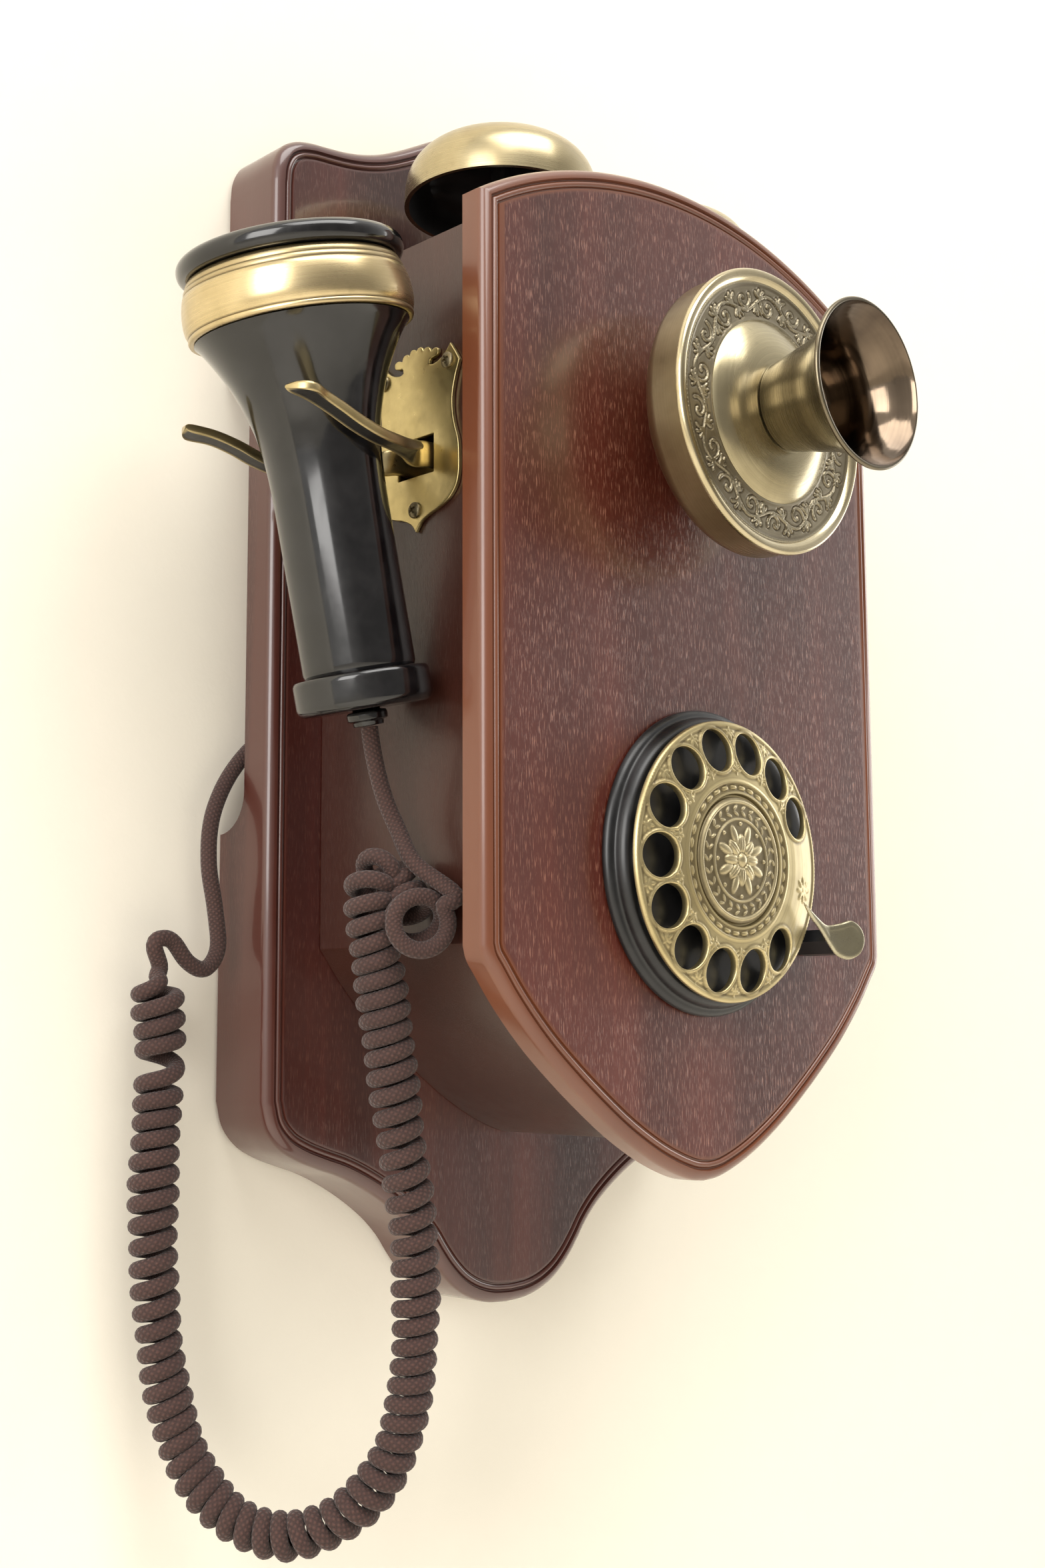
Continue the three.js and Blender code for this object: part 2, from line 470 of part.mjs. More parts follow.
add('ear_cap', receiver([[28.6, 127.5], [31.8, 127.5], [34, 129.2], [33.8, 132.4], [31.4, 134.5],
  [28.6, 134.4], [14, 131.4], [4, 130.6], [4, 128.4], [14, 129], [28.6, 130.6], [28.6, 127.5]]), black());
add('receiver_capsule', receiver(rod(26.5, 112, 126.5), 32), steel());
add('receiver_end_cap', receiver([[4.4, -6], [18.8, -6], [20.7, -4], [20.7, 3.6], [19.4, 4.9], [4.4, 4.9], [4.4, -6]]), black());
add('receiver_bush', receiver([[2.9, -11], [5.8, -11], [6.2, -8.2], [4.1, -7.6], [4.1, 3.6],
  [2.9, 3.6], [2.9, -11]], 20), black());

// ---- inside the case and on the back ------------------------------------------------------
add('circuit_board', box(-34, 34, -37.6, -36, -62, -8).subtract(turnY(rod(1.9, 20, 60), 28, 0, -14, 12))
  .subtract(turnY(rod(1.9, 20, 60), -28, 0, -14, 12)).subtract(turnY(rod(1.9, 20, 60), 28, 0, -56, 12))
  .subtract(turnY(rod(1.9, 20, 60), -28, 0, -56, 12)), paint(0x2f6b3a, 0.6));
let n = 0;
for (const [x, z] of [[-28, -14], [28, -14], [-28, -56], [28, -56]]) {
  n += 1;
  add(`board_spacer_${n}`, turnY([[0, 27.3], [3.6, 27.3], [3.6, 35.7], [1.6, 35.7], [1.6, 38], [0, 38]], x, 0, z, 16),
    steel());
}
const keyhole = turnY(rod(4.5, -5, 10), 0, 0, 160, 24).add(box(-2.2, 2.2, -5, 5, 160, 172));
add('hanger_plate', box(-17, 17, -1.8, -GAP + 0.3, 151, 179).subtract(keyhole), steel());
add('cord_grommet', turnY(ring(2.9, 4, 0, 12), 0, 0, 0, 16).rotate([0, 0, 90])
  .translate([-85, -6.6, -20]), black());

// ---- cord ---------------------------------------------------------------------------------
const bushEnd = new THREE.Vector3(Math.sin(TILT) * 11.4, 0, -Math.cos(TILT) * 11.4).add(new THREE.Vector3(...RECEIVER));
const coilPath = [[-95, -76, -66], [-96.4, -75.5, -81], [-99.5, -75, -99], [-96.5, -75, -125], [-92.6, -75, -150],
  [-87.8, -75, -175], [-86, -74.5, -198], [-87, -72.6, -226], [-91, -68, -245], [-98.6, -58, -259],
  [-110, -45, -265.5], [-120.4, -32, -261], [-128.4, -22, -247], [-134, -16.6, -225], [-138, -15, -195],
  [-139, -14.5, -165], [-138, -14, -140], [-137, -14, -122], [-139.5, -14, -108.5]];
add('cord_coil', tube(coilPath, COIL_D, 8, 28), fabric());
add('cord_lead_receiver', tube([[bushEnd.x, bushEnd.y, bushEnd.z], [-104, -75.2, -36], [-100.4, -75.8, -48],
  [-96.4, -76, -58], [-95, -76, -64.8]], CORD_D, 8, 7), fabric());
add('cord_lead_board', tube([[-139.7, -14, -107.6], [-141.4, -14, -99], [-140.2, -14, -90.6], [-134.6, -14, -89.4],
  [-127.6, -13.8, -96.6], [-121, -13.4, -98.8], [-116, -13, -93], [-116.6, -12.4, -80], [-119, -12, -66],
  [-117.8, -11, -52], [-112, -9, -40], [-104, -7.4, -30], [-96, -6.8, -23], [-90, -6.6, -20.4],
  [-85.3, -6.6, -20]], CORD_D, 8, 32), fabric());

export default phone;
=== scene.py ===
"""Antique-style wall telephone: wooden case and back board, brass bells, mouthpiece and finger wheel,
a black receiver on a fork hook, and a braided curly cord. Sizes are in millimetres until a mesh is made."""
import math
import bpy
import bmesh
import numpy as np
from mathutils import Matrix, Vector
from mathutils.geometry import delaunay_2d_cdt


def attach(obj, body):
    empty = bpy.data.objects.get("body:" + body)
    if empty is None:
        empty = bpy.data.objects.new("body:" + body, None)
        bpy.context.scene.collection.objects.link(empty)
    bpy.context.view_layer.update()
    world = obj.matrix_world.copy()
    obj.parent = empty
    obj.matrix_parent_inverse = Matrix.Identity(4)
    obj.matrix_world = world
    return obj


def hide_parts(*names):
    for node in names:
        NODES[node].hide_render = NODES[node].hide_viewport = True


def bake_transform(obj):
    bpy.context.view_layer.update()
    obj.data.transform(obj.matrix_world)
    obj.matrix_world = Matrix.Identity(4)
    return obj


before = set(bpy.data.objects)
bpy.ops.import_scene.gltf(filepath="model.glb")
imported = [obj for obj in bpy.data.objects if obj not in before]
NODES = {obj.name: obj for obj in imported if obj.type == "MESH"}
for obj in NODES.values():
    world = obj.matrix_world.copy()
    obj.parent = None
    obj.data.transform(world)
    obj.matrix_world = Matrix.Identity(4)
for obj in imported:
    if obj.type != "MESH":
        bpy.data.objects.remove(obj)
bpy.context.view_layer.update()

MM = 0.001
TAU = 2 * math.pi
FACE = -117.0                      # Y of the front panel's face
DIAL_Z, MOUTH_Z = -65.0, 78.0
HOOK_Y = -75.0
BELL_X, BELL_Y, BELL_Z, BELL_R, BELL_H = 42.0, -67.0, 159.4, 33.0, 23.0
BELL_BEND, BELL_WALL, BELL_BORE = 2.9, 1.5, 2.3        # the first is how square the bell's shoulder is
TILT = math.radians(13.0)
RECEIVER = (-108.3, -75.0, -16.0)
CORD_D = 5.0

# ---------------- camera
CAM_AT = (-453.7, -492.8, -112.4)
CAM_YAW, CAM_PITCH, CAM_ROLL = 44.652, 7.133, -0.258
CAM_F = 1.16109694                 # focal length over picture height
SENSOR = 36


def add_object(name, data):
    ob = bpy.data.objects.new(name, data)
    bpy.context.scene.collection.objects.link(ob)
    return ob


def make_camera():
    yaw, pitch, roll = (math.radians(a) for a in (CAM_YAW, CAM_PITCH, CAM_ROLL))
    ahead = Vector((math.sin(yaw) * math.cos(pitch), math.cos(yaw) * math.cos(pitch), math.sin(pitch)))
    right = Vector((math.cos(yaw), -math.sin(yaw), 0))
    up = right.cross(ahead)
    r2 = right * math.cos(roll) + up * math.sin(roll)
    u2 = up * math.cos(roll) - right * math.sin(roll)
    data = bpy.data.cameras.new("camera")
    data.sensor_width = SENSOR
    data.lens = SENSOR * CAM_F
    data.clip_start = 0.02
    cam = add_object("camera", data)
    m = cam.matrix_world.copy()
    for row in range(3):
        m[row][0], m[row][1], m[row][2], m[row][3] = r2[row], u2[row], -ahead[row], CAM_AT[row] * MM
    cam.matrix_world = m
    bpy.context.scene.camera = cam


make_camera()


# ---------------- node helpers
class Nodes:
    """Short calls for building a material's node tree."""

    def __init__(self, name):
        self.mat = bpy.data.materials.new(name)
        self.mat.use_nodes = True
        self.t = self.mat.node_tree
        self.bsdf = next(n for n in self.t.nodes if n.type == "BSDF_PRINCIPLED")

    def put(self, socket, value):
        if isinstance(value, bpy.types.NodeSocket):
            self.t.links.new(value, socket)
        else:
            socket.default_value = value

    def node(self, kind, out=0, props=None, **inputs):
        n = self.t.nodes.new(kind)
        for k, v in (props or {}).items():
            setattr(n, k, v)
        for k, v in inputs.items():
            key = int(k[1:]) if k[0] == "i" and k[1:].isdigit() else k.replace("_", " ")
            self.put(n.inputs[key], v)
        return n.outputs[out]

    def math(self, op, a, b=0.0):
        return self.node("ShaderNodeMath", props={"operation": op}, i0=a, i1=b)

    def add(self, a, b):
        return self.math("ADD", a, b)

    def mul(self, a, b):
        return self.math("MULTIPLY", a, b)

    def coords(self, scale=(1, 1, 1), loc=(0, 0, 0), rot=(0, 0, 0)):
        pos = self.node("ShaderNodeTexCoord", out=3)
        return self.node("ShaderNodeMapping", Vector=pos, Scale=scale, Location=loc, Rotation=rot)

    def noise(self, vector, scale, detail=3.0, rough=0.5, dist=0.0):
        return self.node("ShaderNodeTexNoise", Vector=vector, Scale=scale, Detail=detail, Roughness=rough,
            Distortion=dist)

    def ramp(self, fac, low, high, a=0.0, b=1.0):
        return self.node("ShaderNodeMapRange", props={"clamp": True}, Value=fac, From_Min=low, From_Max=high,
            To_Min=a, To_Max=b)

    def mix(self, fac, a, b):
        n = self.t.nodes.new("ShaderNodeMix")
        n.data_type = "RGBA"
        self.put(n.inputs[0], fac)
        self.put(n.inputs[6], a)
        self.put(n.inputs[7], b)
        return n.outputs[2]

    def bump(self, height, strength, distance):
        return self.node("ShaderNodeBump", Height=height, Strength=strength, Distance=distance)

    def attr(self, name):
        return self.node("ShaderNodeAttribute", out=2, props={"attribute_name": name})

    def set(self, **values):
        for k, v in values.items():
            self.put(self.bsdf.inputs[k.replace("_", " ")], v)
        return self.mat


def rgb(r, g, b):
    """sRGB 0-255 to a linear colour."""
    lin = [(c / 255 / 12.92) if c <= 10 else ((c / 255 + 0.055) / 1.055) ** 2.4 for c in (r, g, b)]
    return (*lin, 1.0)


def dim(tone, share):
    """The same colour, darker."""
    return (*(share * c for c in tone[:3]), 1.0)


# ---------------- materials
def wood(name, dark, mid, light, edge, pores, coat_rough, coat=0.85):
    """Stained open-grain wood under lacquer. Grain runs along Z; the attribute mould marks machined edges."""
    n = Nodes(name)
    c = n.coords(scale=(1, 1, 0.05))
    broad = n.noise(c, 26, 4, 0.55, 0.6)
    figure = n.noise(n.coords(scale=(1, 1, 0.16)), 14, 3, 0.5, 1.2)
    fine = n.noise(c, 420, 3, 0.6)
    tone = n.mix(n.ramp(broad, 0.32, 0.68), dark, mid)
    tone = n.mix(n.mul(n.ramp(figure, 0.45, 0.72), 0.55), tone, light)
    tone = n.mix(n.ramp(fine, 0.35, 0.75, 0.0, 0.32), tone, dark)
    pore = n.noise(n.coords(scale=(1, 1, 0.075)), 3000, 2, 0.55)
    patch = n.ramp(n.noise(c, 60, 2, 0.5), 0.25, 0.55, 0.35, 1.0)
    mould = n.attr("mould")
    flat = n.math("SUBTRACT", 1.0, mould)
    open_grain = n.mul(n.ramp(pore, 0.56, 0.66), n.mul(patch, flat))
    tone = n.mix(n.mul(open_grain, pores), tone, rgb(168, 116, 94))
    edge_tone = n.mix(n.ramp(broad, 0.3, 0.7), edge, dim(edge, 0.72))
    tone = n.mix(n.mul(mould, 0.8), tone, edge_tone)
    rough = n.ramp(broad, 0.2, 0.8, 0.30, 0.42)
    orange_peel = n.noise(n.coords(), 160, 2, 0.5)
    wear = n.noise(n.coords(), 35, 5, 0.6)
    height = n.add(n.mul(open_grain, -0.9), n.add(n.mul(fine, 0.22), n.mul(orange_peel, 0.25)))
    bump = n.bump(height, 0.22, 0.0003)
    coat_height = n.add(n.mul(open_grain, -0.5), n.mul(orange_peel, 0.3))
    rough = n.add(rough, n.mul(n.ramp(wear, 0.5, 0.75), 0.10))
    return n.set(Base_Color=tone, Roughness=rough, Normal=bump, Coat_Weight=coat, Coat_Roughness=coat_rough,
        Coat_IOR=1.5, IOR=1.5, Coat_Normal=n.bump(coat_height, 0.10, 0.0003))


def brass(name, bright, dull, rough, lines=None, recess=False, tint=0.35, underside_shade=False):
    """Lacquered antique brass. lines gives the brushing: ('Y', x, z) rings round an axis along Y, or
    ('D', dx, dy, dz) lines across a direction. recess darkens where the attribute recess is high. The
    last flag covers it in black: painted shade on faces that turn downward."""
    n = Nodes(name)
    if lines and lines[0] == "Y":
        sep = n.t.nodes.new("ShaderNodeSeparateXYZ")
        n.put(sep.inputs[0], n.coords(loc=(-lines[1] * MM, 0, -lines[2] * MM)))
        flat = n.node("ShaderNodeCombineXYZ", X=sep.outputs[0], Y=0.0, Z=sep.outputs[2])
        rad = n.node("ShaderNodeVectorMath", out=1, props={"operation": "LENGTH"}, i0=flat)
        v = n.node("ShaderNodeCombineXYZ", X=rad, Y=sep.outputs[1], Z=0.0)
    elif lines and lines[0] == "D":
        along = n.node("ShaderNodeVectorMath", out=1, props={"operation": "DOT_PRODUCT"}, i0=n.coords(),
            i1=tuple(lines[1:4]))
        v = n.node("ShaderNodeCombineXYZ", X=along, Y=0.0, Z=0.0)
    else:
        v = n.coords()
    brushed = n.noise(v, 1500 if lines else 300, 3, 0.7)
    soft = n.noise(n.coords(), 30, 4, 0.55)
    spots = n.noise(n.coords(), 210, 3, 0.6)
    tone = n.mix(n.ramp(soft, 0.35, 0.7), bright, dull)
    tone = n.mix(n.ramp(brushed, 0.35, 0.75, 0.0, tint), tone, dim(dull, 0.55))
    tone = n.mix(n.ramp(spots, 0.62, 0.8, 0.0, 0.25), tone, dim(dull, 0.5))
    r = n.add(n.ramp(brushed, 0.25, 0.8, rough - 0.05, rough + 0.13), n.ramp(soft, 0.4, 0.7, 0.0, 0.06))
    if recess:
        low = n.attr("recess")
        tone = n.mix(n.mul(low, 0.85), tone, rgb(58, 44, 24))
        r = n.add(r, n.mul(low, 0.22))
    metal = 1.0
    # Black, and no longer metal, where the recess attribute is high: painted shade on faces that turn
    # downward.
    if underside_shade:
        low = n.attr("recess")
        tone = n.mix(low, tone, rgb(17, 14, 12))
        r = n.add(r, n.mul(low, 0.15))
        metal = n.math("SUBTRACT", 1.0, low)
    height = n.add(brushed, n.mul(spots, 0.15))
    normal = n.bump(height, 0.10 if lines else 0.05, 0.0001)
    return n.set(Base_Color=tone, Metallic=metal, Roughness=r, Normal=normal, Coat_Weight=0.25,
        Coat_Roughness=0.12)


def resin(name, tone, rough, coat=0.4):
    n = Nodes(name)
    dust = n.noise(n.coords(), 90, 5, 0.65)
    hair = n.noise(n.coords(scale=(1, 1, 0.12)), 260, 2, 0.5)
    col = n.mix(n.ramp(dust, 0.4, 0.8, 0.0, 0.5), tone, rgb(44, 43, 44))
    r = n.add(n.ramp(dust, 0.3, 0.8, rough, rough + 0.10), n.ramp(hair, 0.6, 0.75, 0.0, 0.08))
    h = n.noise(n.coords(), 140, 2, 0.5)
    return n.set(Base_Color=col, Roughness=r, IOR=1.54, Normal=n.bump(h, 0.05, 0.0003), Coat_Weight=coat,
        Coat_Roughness=0.08)


def plain_metal(name, tone, rough):
    n = Nodes(name)
    a = n.noise(n.coords(scale=(1, 1, 0.15)), 500, 3, 0.6)
    b = n.noise(n.coords(), 60, 4, 0.6)
    col = n.mix(n.ramp(b, 0.35, 0.7), tone, dim(tone, 0.6))
    return n.set(Base_Color=col, Metallic=1.0, Roughness=n.ramp(a, 0.3, 0.7, rough, rough + 0.2),
        Normal=n.bump(a, 0.08, 0.0002))


def winding(name):
    n = Nodes(name)
    turns = n.node("ShaderNodeTexWave", out=1, props={"bands_direction": "Z"}, Vector=n.coords(), Scale=420.0,
        Distortion=0.3)
    col = n.mix(turns, rgb(70, 30, 14), rgb(170, 92, 48))
    return n.set(Base_Color=col, Metallic=0.8, Roughness=0.35, Normal=n.bump(turns, 0.6, 0.0004))


def board_green(name):
    n = Nodes(name)
    tracks = n.node("ShaderNodeTexBrick", props={"offset": 0.5}, Vector=n.coords(rot=(math.pi / 2, 0, 0)),
        Scale=90.0, Mortar_Size=0.03, Color1=rgb(24, 84, 46), Color2=rgb(30, 96, 52), Mortar=rgb(70, 140, 80))
    fleck = n.noise(n.coords(), 300, 3, 0.6)
    return n.set(Base_Color=n.mix(n.ramp(fleck, 0.4, 0.7, 0, 0.3), tracks, rgb(20, 60, 34)), Roughness=0.45,
        Normal=n.bump(fleck, 0.1, 0.0002))


def braid(name):
    """Braided cotton sleeve: two diagonal sets of strands, in the cord's coordinates along and around it."""
    n = Nodes(name)
    uv = n.node("ShaderNodeUVMap", props={"uv_map": "cord"})
    sep = n.t.nodes.new("ShaderNodeSeparateXYZ")
    n.put(sep.inputs[0], uv)
    u, v = sep.outputs[0], sep.outputs[1]
    strands = []
    for sign in (1, -1):
        phase = n.add(n.mul(u, 1.0 / 1.55), n.mul(v, 8.0 * sign))
        wave = n.math("SINE", n.mul(phase, TAU))
        strands.append(n.ramp(wave, -1.0, 1.0))
    weave = n.mul(strands[0], strands[1])
    fuzz = n.noise(n.coords(), 2500, 3, 0.7)
    shade = n.noise(n.coords(), 45, 3, 0.5)
    # Light on the strands' crowns and dark between them: painted highlight and painted shade over the weave's
    # bump.
    col = n.mix(weave, rgb(44, 27, 24), rgb(84, 56, 49))
    col = n.mix(n.ramp(fuzz, 0.35, 0.75, 0.0, 0.4), col, rgb(92, 66, 58))
    col = n.mix(n.ramp(shade, 0.4, 0.7, 0.0, 0.35), col, rgb(50, 30, 27))
    height = n.add(weave, n.mul(fuzz, 0.35))
    return n.set(Base_Color=col, Roughness=0.86, Normal=n.bump(height, 0.75, 0.00035), Sheen_Weight=0.12,
        Sheen_Roughness=0.45)


def plaster(name, tone, see_through_back=False):
    n = Nodes(name)
    grain = n.noise(n.coords(), 55, 4, 0.55)
    fine = n.noise(n.coords(), 420, 3, 0.6)
    col = n.mix(n.ramp(grain, 0.3, 0.7, 0.0, 0.25), tone, dim(tone, 0.96))
    height = n.add(grain, n.mul(fine, 0.4))
    n.set(Base_Color=col, Roughness=0.85, Normal=n.bump(height, 0.12, 0.001))
    if see_through_back:
        out = next(x for x in n.t.nodes if x.type == "OUTPUT_MATERIAL")
        clear = n.node("ShaderNodeBsdfTransparent")
        back = n.node("ShaderNodeNewGeometry", out=6)
        n.put(out.inputs[0], n.node("ShaderNodeMixShader", i0=back, i1=n.bsdf.outputs[0], i2=clear))
    return n.mat


M = {
    "case": wood("case_lacquer", rgb(56, 19, 12), rgb(84, 32, 21), rgb(102, 44, 30), rgb(118, 66, 38), 0.50,
                 0.16, 0.7),
    "side": wood("side_lacquer", rgb(38, 16, 11), rgb(56, 25, 17), rgb(66, 30, 20), rgb(74, 36, 22), 0.05,
                 0.18, 0.4),
    "board": wood("board_lacquer", rgb(44, 16, 12), rgb(74, 28, 20), rgb(112, 48, 28), rgb(82, 42, 33), 0.14,
                  0.10),
    "bell": brass("bell_brass", rgb(196, 182, 146), rgb(154, 138, 102), 0.24, ("D", 0, 0, 1)),
    "shell": brass("shell_brass", rgb(204, 188, 148), rgb(152, 136, 100), 0.26, ("D", 0, 1, 0)),
    "bezel": brass("bezel_brass", rgb(222, 210, 178), rgb(182, 168, 132), 0.14, ("Y", 0, MOUTH_Z)),
    "flange": brass("flange_brass", rgb(178, 168, 142), rgb(136, 126, 102), 0.30, ("Y", 0, MOUTH_Z),
                    recess=True),
    "dome": brass("dome_brass", rgb(190, 178, 144), rgb(146, 134, 102), 0.20, ("Y", 0, MOUTH_Z)),
    "horn": brass("horn_brass", rgb(124, 114, 94), rgb(86, 78, 62), 0.22, ("D", 0, 1, 0)),
    "horn_in": brass("horn_inside", rgb(126, 110, 92), rgb(74, 62, 52), 0.09, ("Y", 0, MOUTH_Z), tint=0.15),
    "wheel": brass("wheel_brass", rgb(216, 200, 152), rgb(176, 160, 116), 0.36, ("Y", 0, DIAL_Z),
                   recess=True),
    "medallion": brass("medallion_brass", rgb(216, 202, 162), rgb(174, 160, 122), 0.33, None, recess=True),
    "band": brass("band_brass", rgb(222, 202, 158), rgb(180, 160, 116), 0.24,
                  ("D", -math.sin(TILT), 0, math.cos(TILT)), recess=True),
    "plate": brass("plate_brass", rgb(212, 194, 138), rgb(184, 166, 112), 0.30, None, tint=0.12),
    # The lever is painted black on its downward faces: painted shade.
    "lever": brass("lever_brass", rgb(206, 188, 142), rgb(166, 148, 104), 0.28, None, tint=0.2, underside_shade=True),
    "stop": brass("stop_brass", rgb(196, 190, 164), rgb(160, 152, 124), 0.24, None),
    "black": resin("black_resin", rgb(9, 9, 11), 0.10, 0.25),
    "dial_black": resin("dial_black", rgb(10, 11, 13), 0.30, 0.0),
    # Near-black for the inside of the bells: painted shade in the hollow under each dome.
    "bell_in": resin("bell_hollow_painted_shade", rgb(8, 8, 8), 0.6),
    "steel": plain_metal("plated_steel", rgb(170, 172, 174), 0.25),
    "gold": plain_metal("plain_brass", rgb(196, 172, 120), 0.28),
    "screw": plain_metal("screw_head", rgb(150, 138, 110), 0.3),
    "copper": winding("copper_winding"),
    "green": board_green("circuit_green"),
    "cord": braid("braided_cotton"),
}


# ---------------- mesh helpers
def make(name, verts, faces, mats, body, replaces, sharp, mat_of=None, attrs=None, uv=None):
    """A mesh piece from millimetre points, shaded smooth except across edges sharper than the given angle.
    mats and replaces are names with spaces between them."""
    me = bpy.data.meshes.new(name)
    me.from_pydata([tuple(c * MM for c in v) for v in verts], [], faces)
    for key, values in (attrs or {}).items():
        me.attributes.new(key, "FLOAT", "POINT").data.foreach_set("value", np.asarray(values, np.float32))
    if mat_of is not None:
        me.polygons.foreach_set("material_index", np.asarray(mat_of, np.int32))
    if uv is not None:
        layer = me.uv_layers.new(name="cord")
        loops = np.zeros(len(me.loops), np.int32)
        me.loops.foreach_get("vertex_index", loops)
        layer.data.foreach_set("uv", np.asarray(uv, np.float32)[:len(loops)].ravel())
    bm = bmesh.new()
    bm.from_mesh(me)
    bmesh.ops.remove_doubles(bm, verts=bm.verts, dist=1e-7)
    bmesh.ops.recalc_face_normals(bm, faces=bm.faces)
    limit = math.radians(sharp)
    for f in bm.faces:
        f.smooth = True
    for e in bm.edges:
        e.smooth = len(e.link_faces) == 2 and e.calc_face_angle(0) < limit
    bm.to_mesh(me)
    bm.free()
    ob = add_object(name, me)
    for key in mats.split():
        me.materials.append(M[key])
    if body:
        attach(ob, body)
    if replaces:
        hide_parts(*replaces.split())
    return ob


NEARLY_STRAIGHT = math.radians(168)
BATCH = 1500                       # points handled at a time


def fillet(profile, r, n, closed=False):
    """Rounds each corner of a polyline by up to r, drawn as a short curve."""
    p = [np.array(q, float) for q in profile]
    out = []
    count = len(p)
    for i in range(count):
        if not closed and i in (0, count - 1):
            out.append(p[i])
            continue
        a, b, c = p[i - 1], p[i], p[(i + 1) % count]
        la, lc = np.linalg.norm(a - b), np.linalg.norm(c - b)
        turn = math.acos(max(-1, min(1, float(np.dot(a - b, c - b) / la / lc))))
        if turn > NEARLY_STRAIGHT:
            out.append(b)
            continue
        k = min(r, la * 0.45, lc * 0.45)
        s, e = b + (a - b) / la * k, b + (c - b) / lc * k
        for j in range(n + 1):
            t = j / n
            out.append((1 - t) ** 2 * s + 2 * t * (1 - t) * b + t * t * e)
    return [tuple(q) for q in out]


def axis_y(x, z):
    return np.array([x, FACE, z]), np.array([1, 0, 0]), np.array([0, 0, 1]), np.array([0, -1, 0])


def axis_z(x, y, z):
    return np.array([x, y, z]), np.array([1, 0, 0]), np.array([0, 1, 0]), np.array([0, 0, 1])


def axis_receiver():
    c, s = math.cos(TILT), math.sin(TILT)
    return np.array(RECEIVER), np.array([c, 0, s]), np.array([0, 1, 0]), np.array([-s, 0, c])


def axis_minus_x(x, y, z):
    return np.array([x, y, z]), np.array([0, 1, 0]), np.array([0, 0, 1]), np.array([-1, 0, 0])


def lathe(name, profile, axis, mats, body, replaces, seg, sharp=32, part=None, recess=None):
    """Turns (radius, height) points about an axis. part gives each profile segment's material index."""
    o, u, v, a = axis
    profile = [tuple(q) for q in profile]
    verts, faces, mat_of, rec, rows = [], [], [], [], []
    for r, h in profile:
        if r < 1e-5:
            rows.append([len(verts)])
            verts.append(o + a * h)
            rec.append(recess(r, h) if recess else 0)
            continue
        rows.append(list(range(len(verts), len(verts) + seg)))
        for k in range(seg):
            t = TAU * k / seg
            verts.append(o + a * h + r * (math.cos(t) * u + math.sin(t) * v))
            rec.append(recess(r, h) if recess else 0)
    pairs = list(zip(range(len(rows) - 1), range(1, len(rows))))
    if profile[0] != profile[-1] and len(rows[0]) > 1 and len(rows[-1]) > 1:
        pairs.append((len(rows) - 1, 0))
    for i, j in pairs:
        p, q = rows[i], rows[j]
        for k in range(seg):
            l = (k + 1) % seg
            if len(p) == 1 and len(q) == 1:
                break
            if len(p) == 1:
                faces.append((p[0], q[k], q[l]))
            elif len(q) == 1:
                faces.append((p[k], q[0], p[l]))
            else:
                faces.append((p[k], q[k], q[l], p[l]))
            mat_of.append(part(i) if part else 0)
    return make(name, verts, faces, mats, body, replaces, sharp, mat_of,
        {"recess": rec} if recess else None)


def dense(points, spacing, closed=True):
    """Resamples straight runs so that no step is longer than spacing."""
    out = []
    n = len(points)
    for i in range(n if closed else n - 1):
        a, b = np.array(points[i], float), np.array(points[(i + 1) % n], float)
        k = max(1, int(math.ceil(np.linalg.norm(b - a) / spacing)))
        out += [tuple(a + (b - a) * j / k) for j in range(k)]
    if not closed:
        out.append(tuple(points[-1]))
    return out


def arc_length(line):
    """The distance along a line to each of its points."""
    return np.concatenate([[0], np.cumsum(np.linalg.norm(np.diff(line, axis=0), axis=1))])


def directions(line):
    t = np.gradient(line, axis=0)
    return t / np.linalg.norm(t, axis=1)[:, None]


def side_vectors(t):
    """Two unit vectors across each direction, which turn as little as they can along the line."""
    u = np.zeros_like(t)
    ref = np.array([0, 1.0, 0])
    for i in range(len(t)):
        ref = ref - t[i] * (ref @ t[i])
        ref /= np.linalg.norm(ref)
        u[i] = ref
    return u, np.cross(t, u)


def spline(points, spacing):
    """A smooth curve through the points, at even steps."""
    p = np.array(points, float)
    ext = np.vstack([2 * p[0] - p[1], p, 2 * p[-1] - p[-2]])
    out = []
    for i in range(1, len(ext) - 2):
        p0, p1, p2, p3 = ext[i - 1:i + 3]
        t0 = 0.0
        t1 = t0 + np.linalg.norm(p1 - p0) ** 0.5
        t2 = t1 + np.linalg.norm(p2 - p1) ** 0.5
        t3 = t2 + np.linalg.norm(p3 - p2) ** 0.5
        for t in np.linspace(t1, t2, 24, endpoint=False):
            a1 = (t1 - t) / (t1 - t0) * p0 + (t - t0) / (t1 - t0) * p1
            a2 = (t2 - t) / (t2 - t1) * p1 + (t - t1) / (t2 - t1) * p2
            a3 = (t3 - t) / (t3 - t2) * p2 + (t - t2) / (t3 - t2) * p3
            b1 = (t2 - t) / (t2 - t0) * a1 + (t - t0) / (t2 - t0) * a2
            b2 = (t3 - t) / (t3 - t1) * a2 + (t - t1) / (t3 - t1) * a3
            out.append((t2 - t) / (t2 - t1) * b1 + (t - t1) / (t2 - t1) * b2)
    out.append(p[-1])
    q = np.array(out)
    s = arc_length(q)
    n = max(2, int(round(s[-1] / spacing)) + 1)
    at = np.linspace(0, s[-1], n)
    return np.stack([np.interp(at, s, q[:, k]) for k in range(q.shape[1])], 1)


def both_sides(half):
    """Closed outline from its right half, which starts and ends on the middle line."""
    half = [tuple(p) for p in half]
    return half + [(-x, z) for x, z in half[-2:0:-1]]


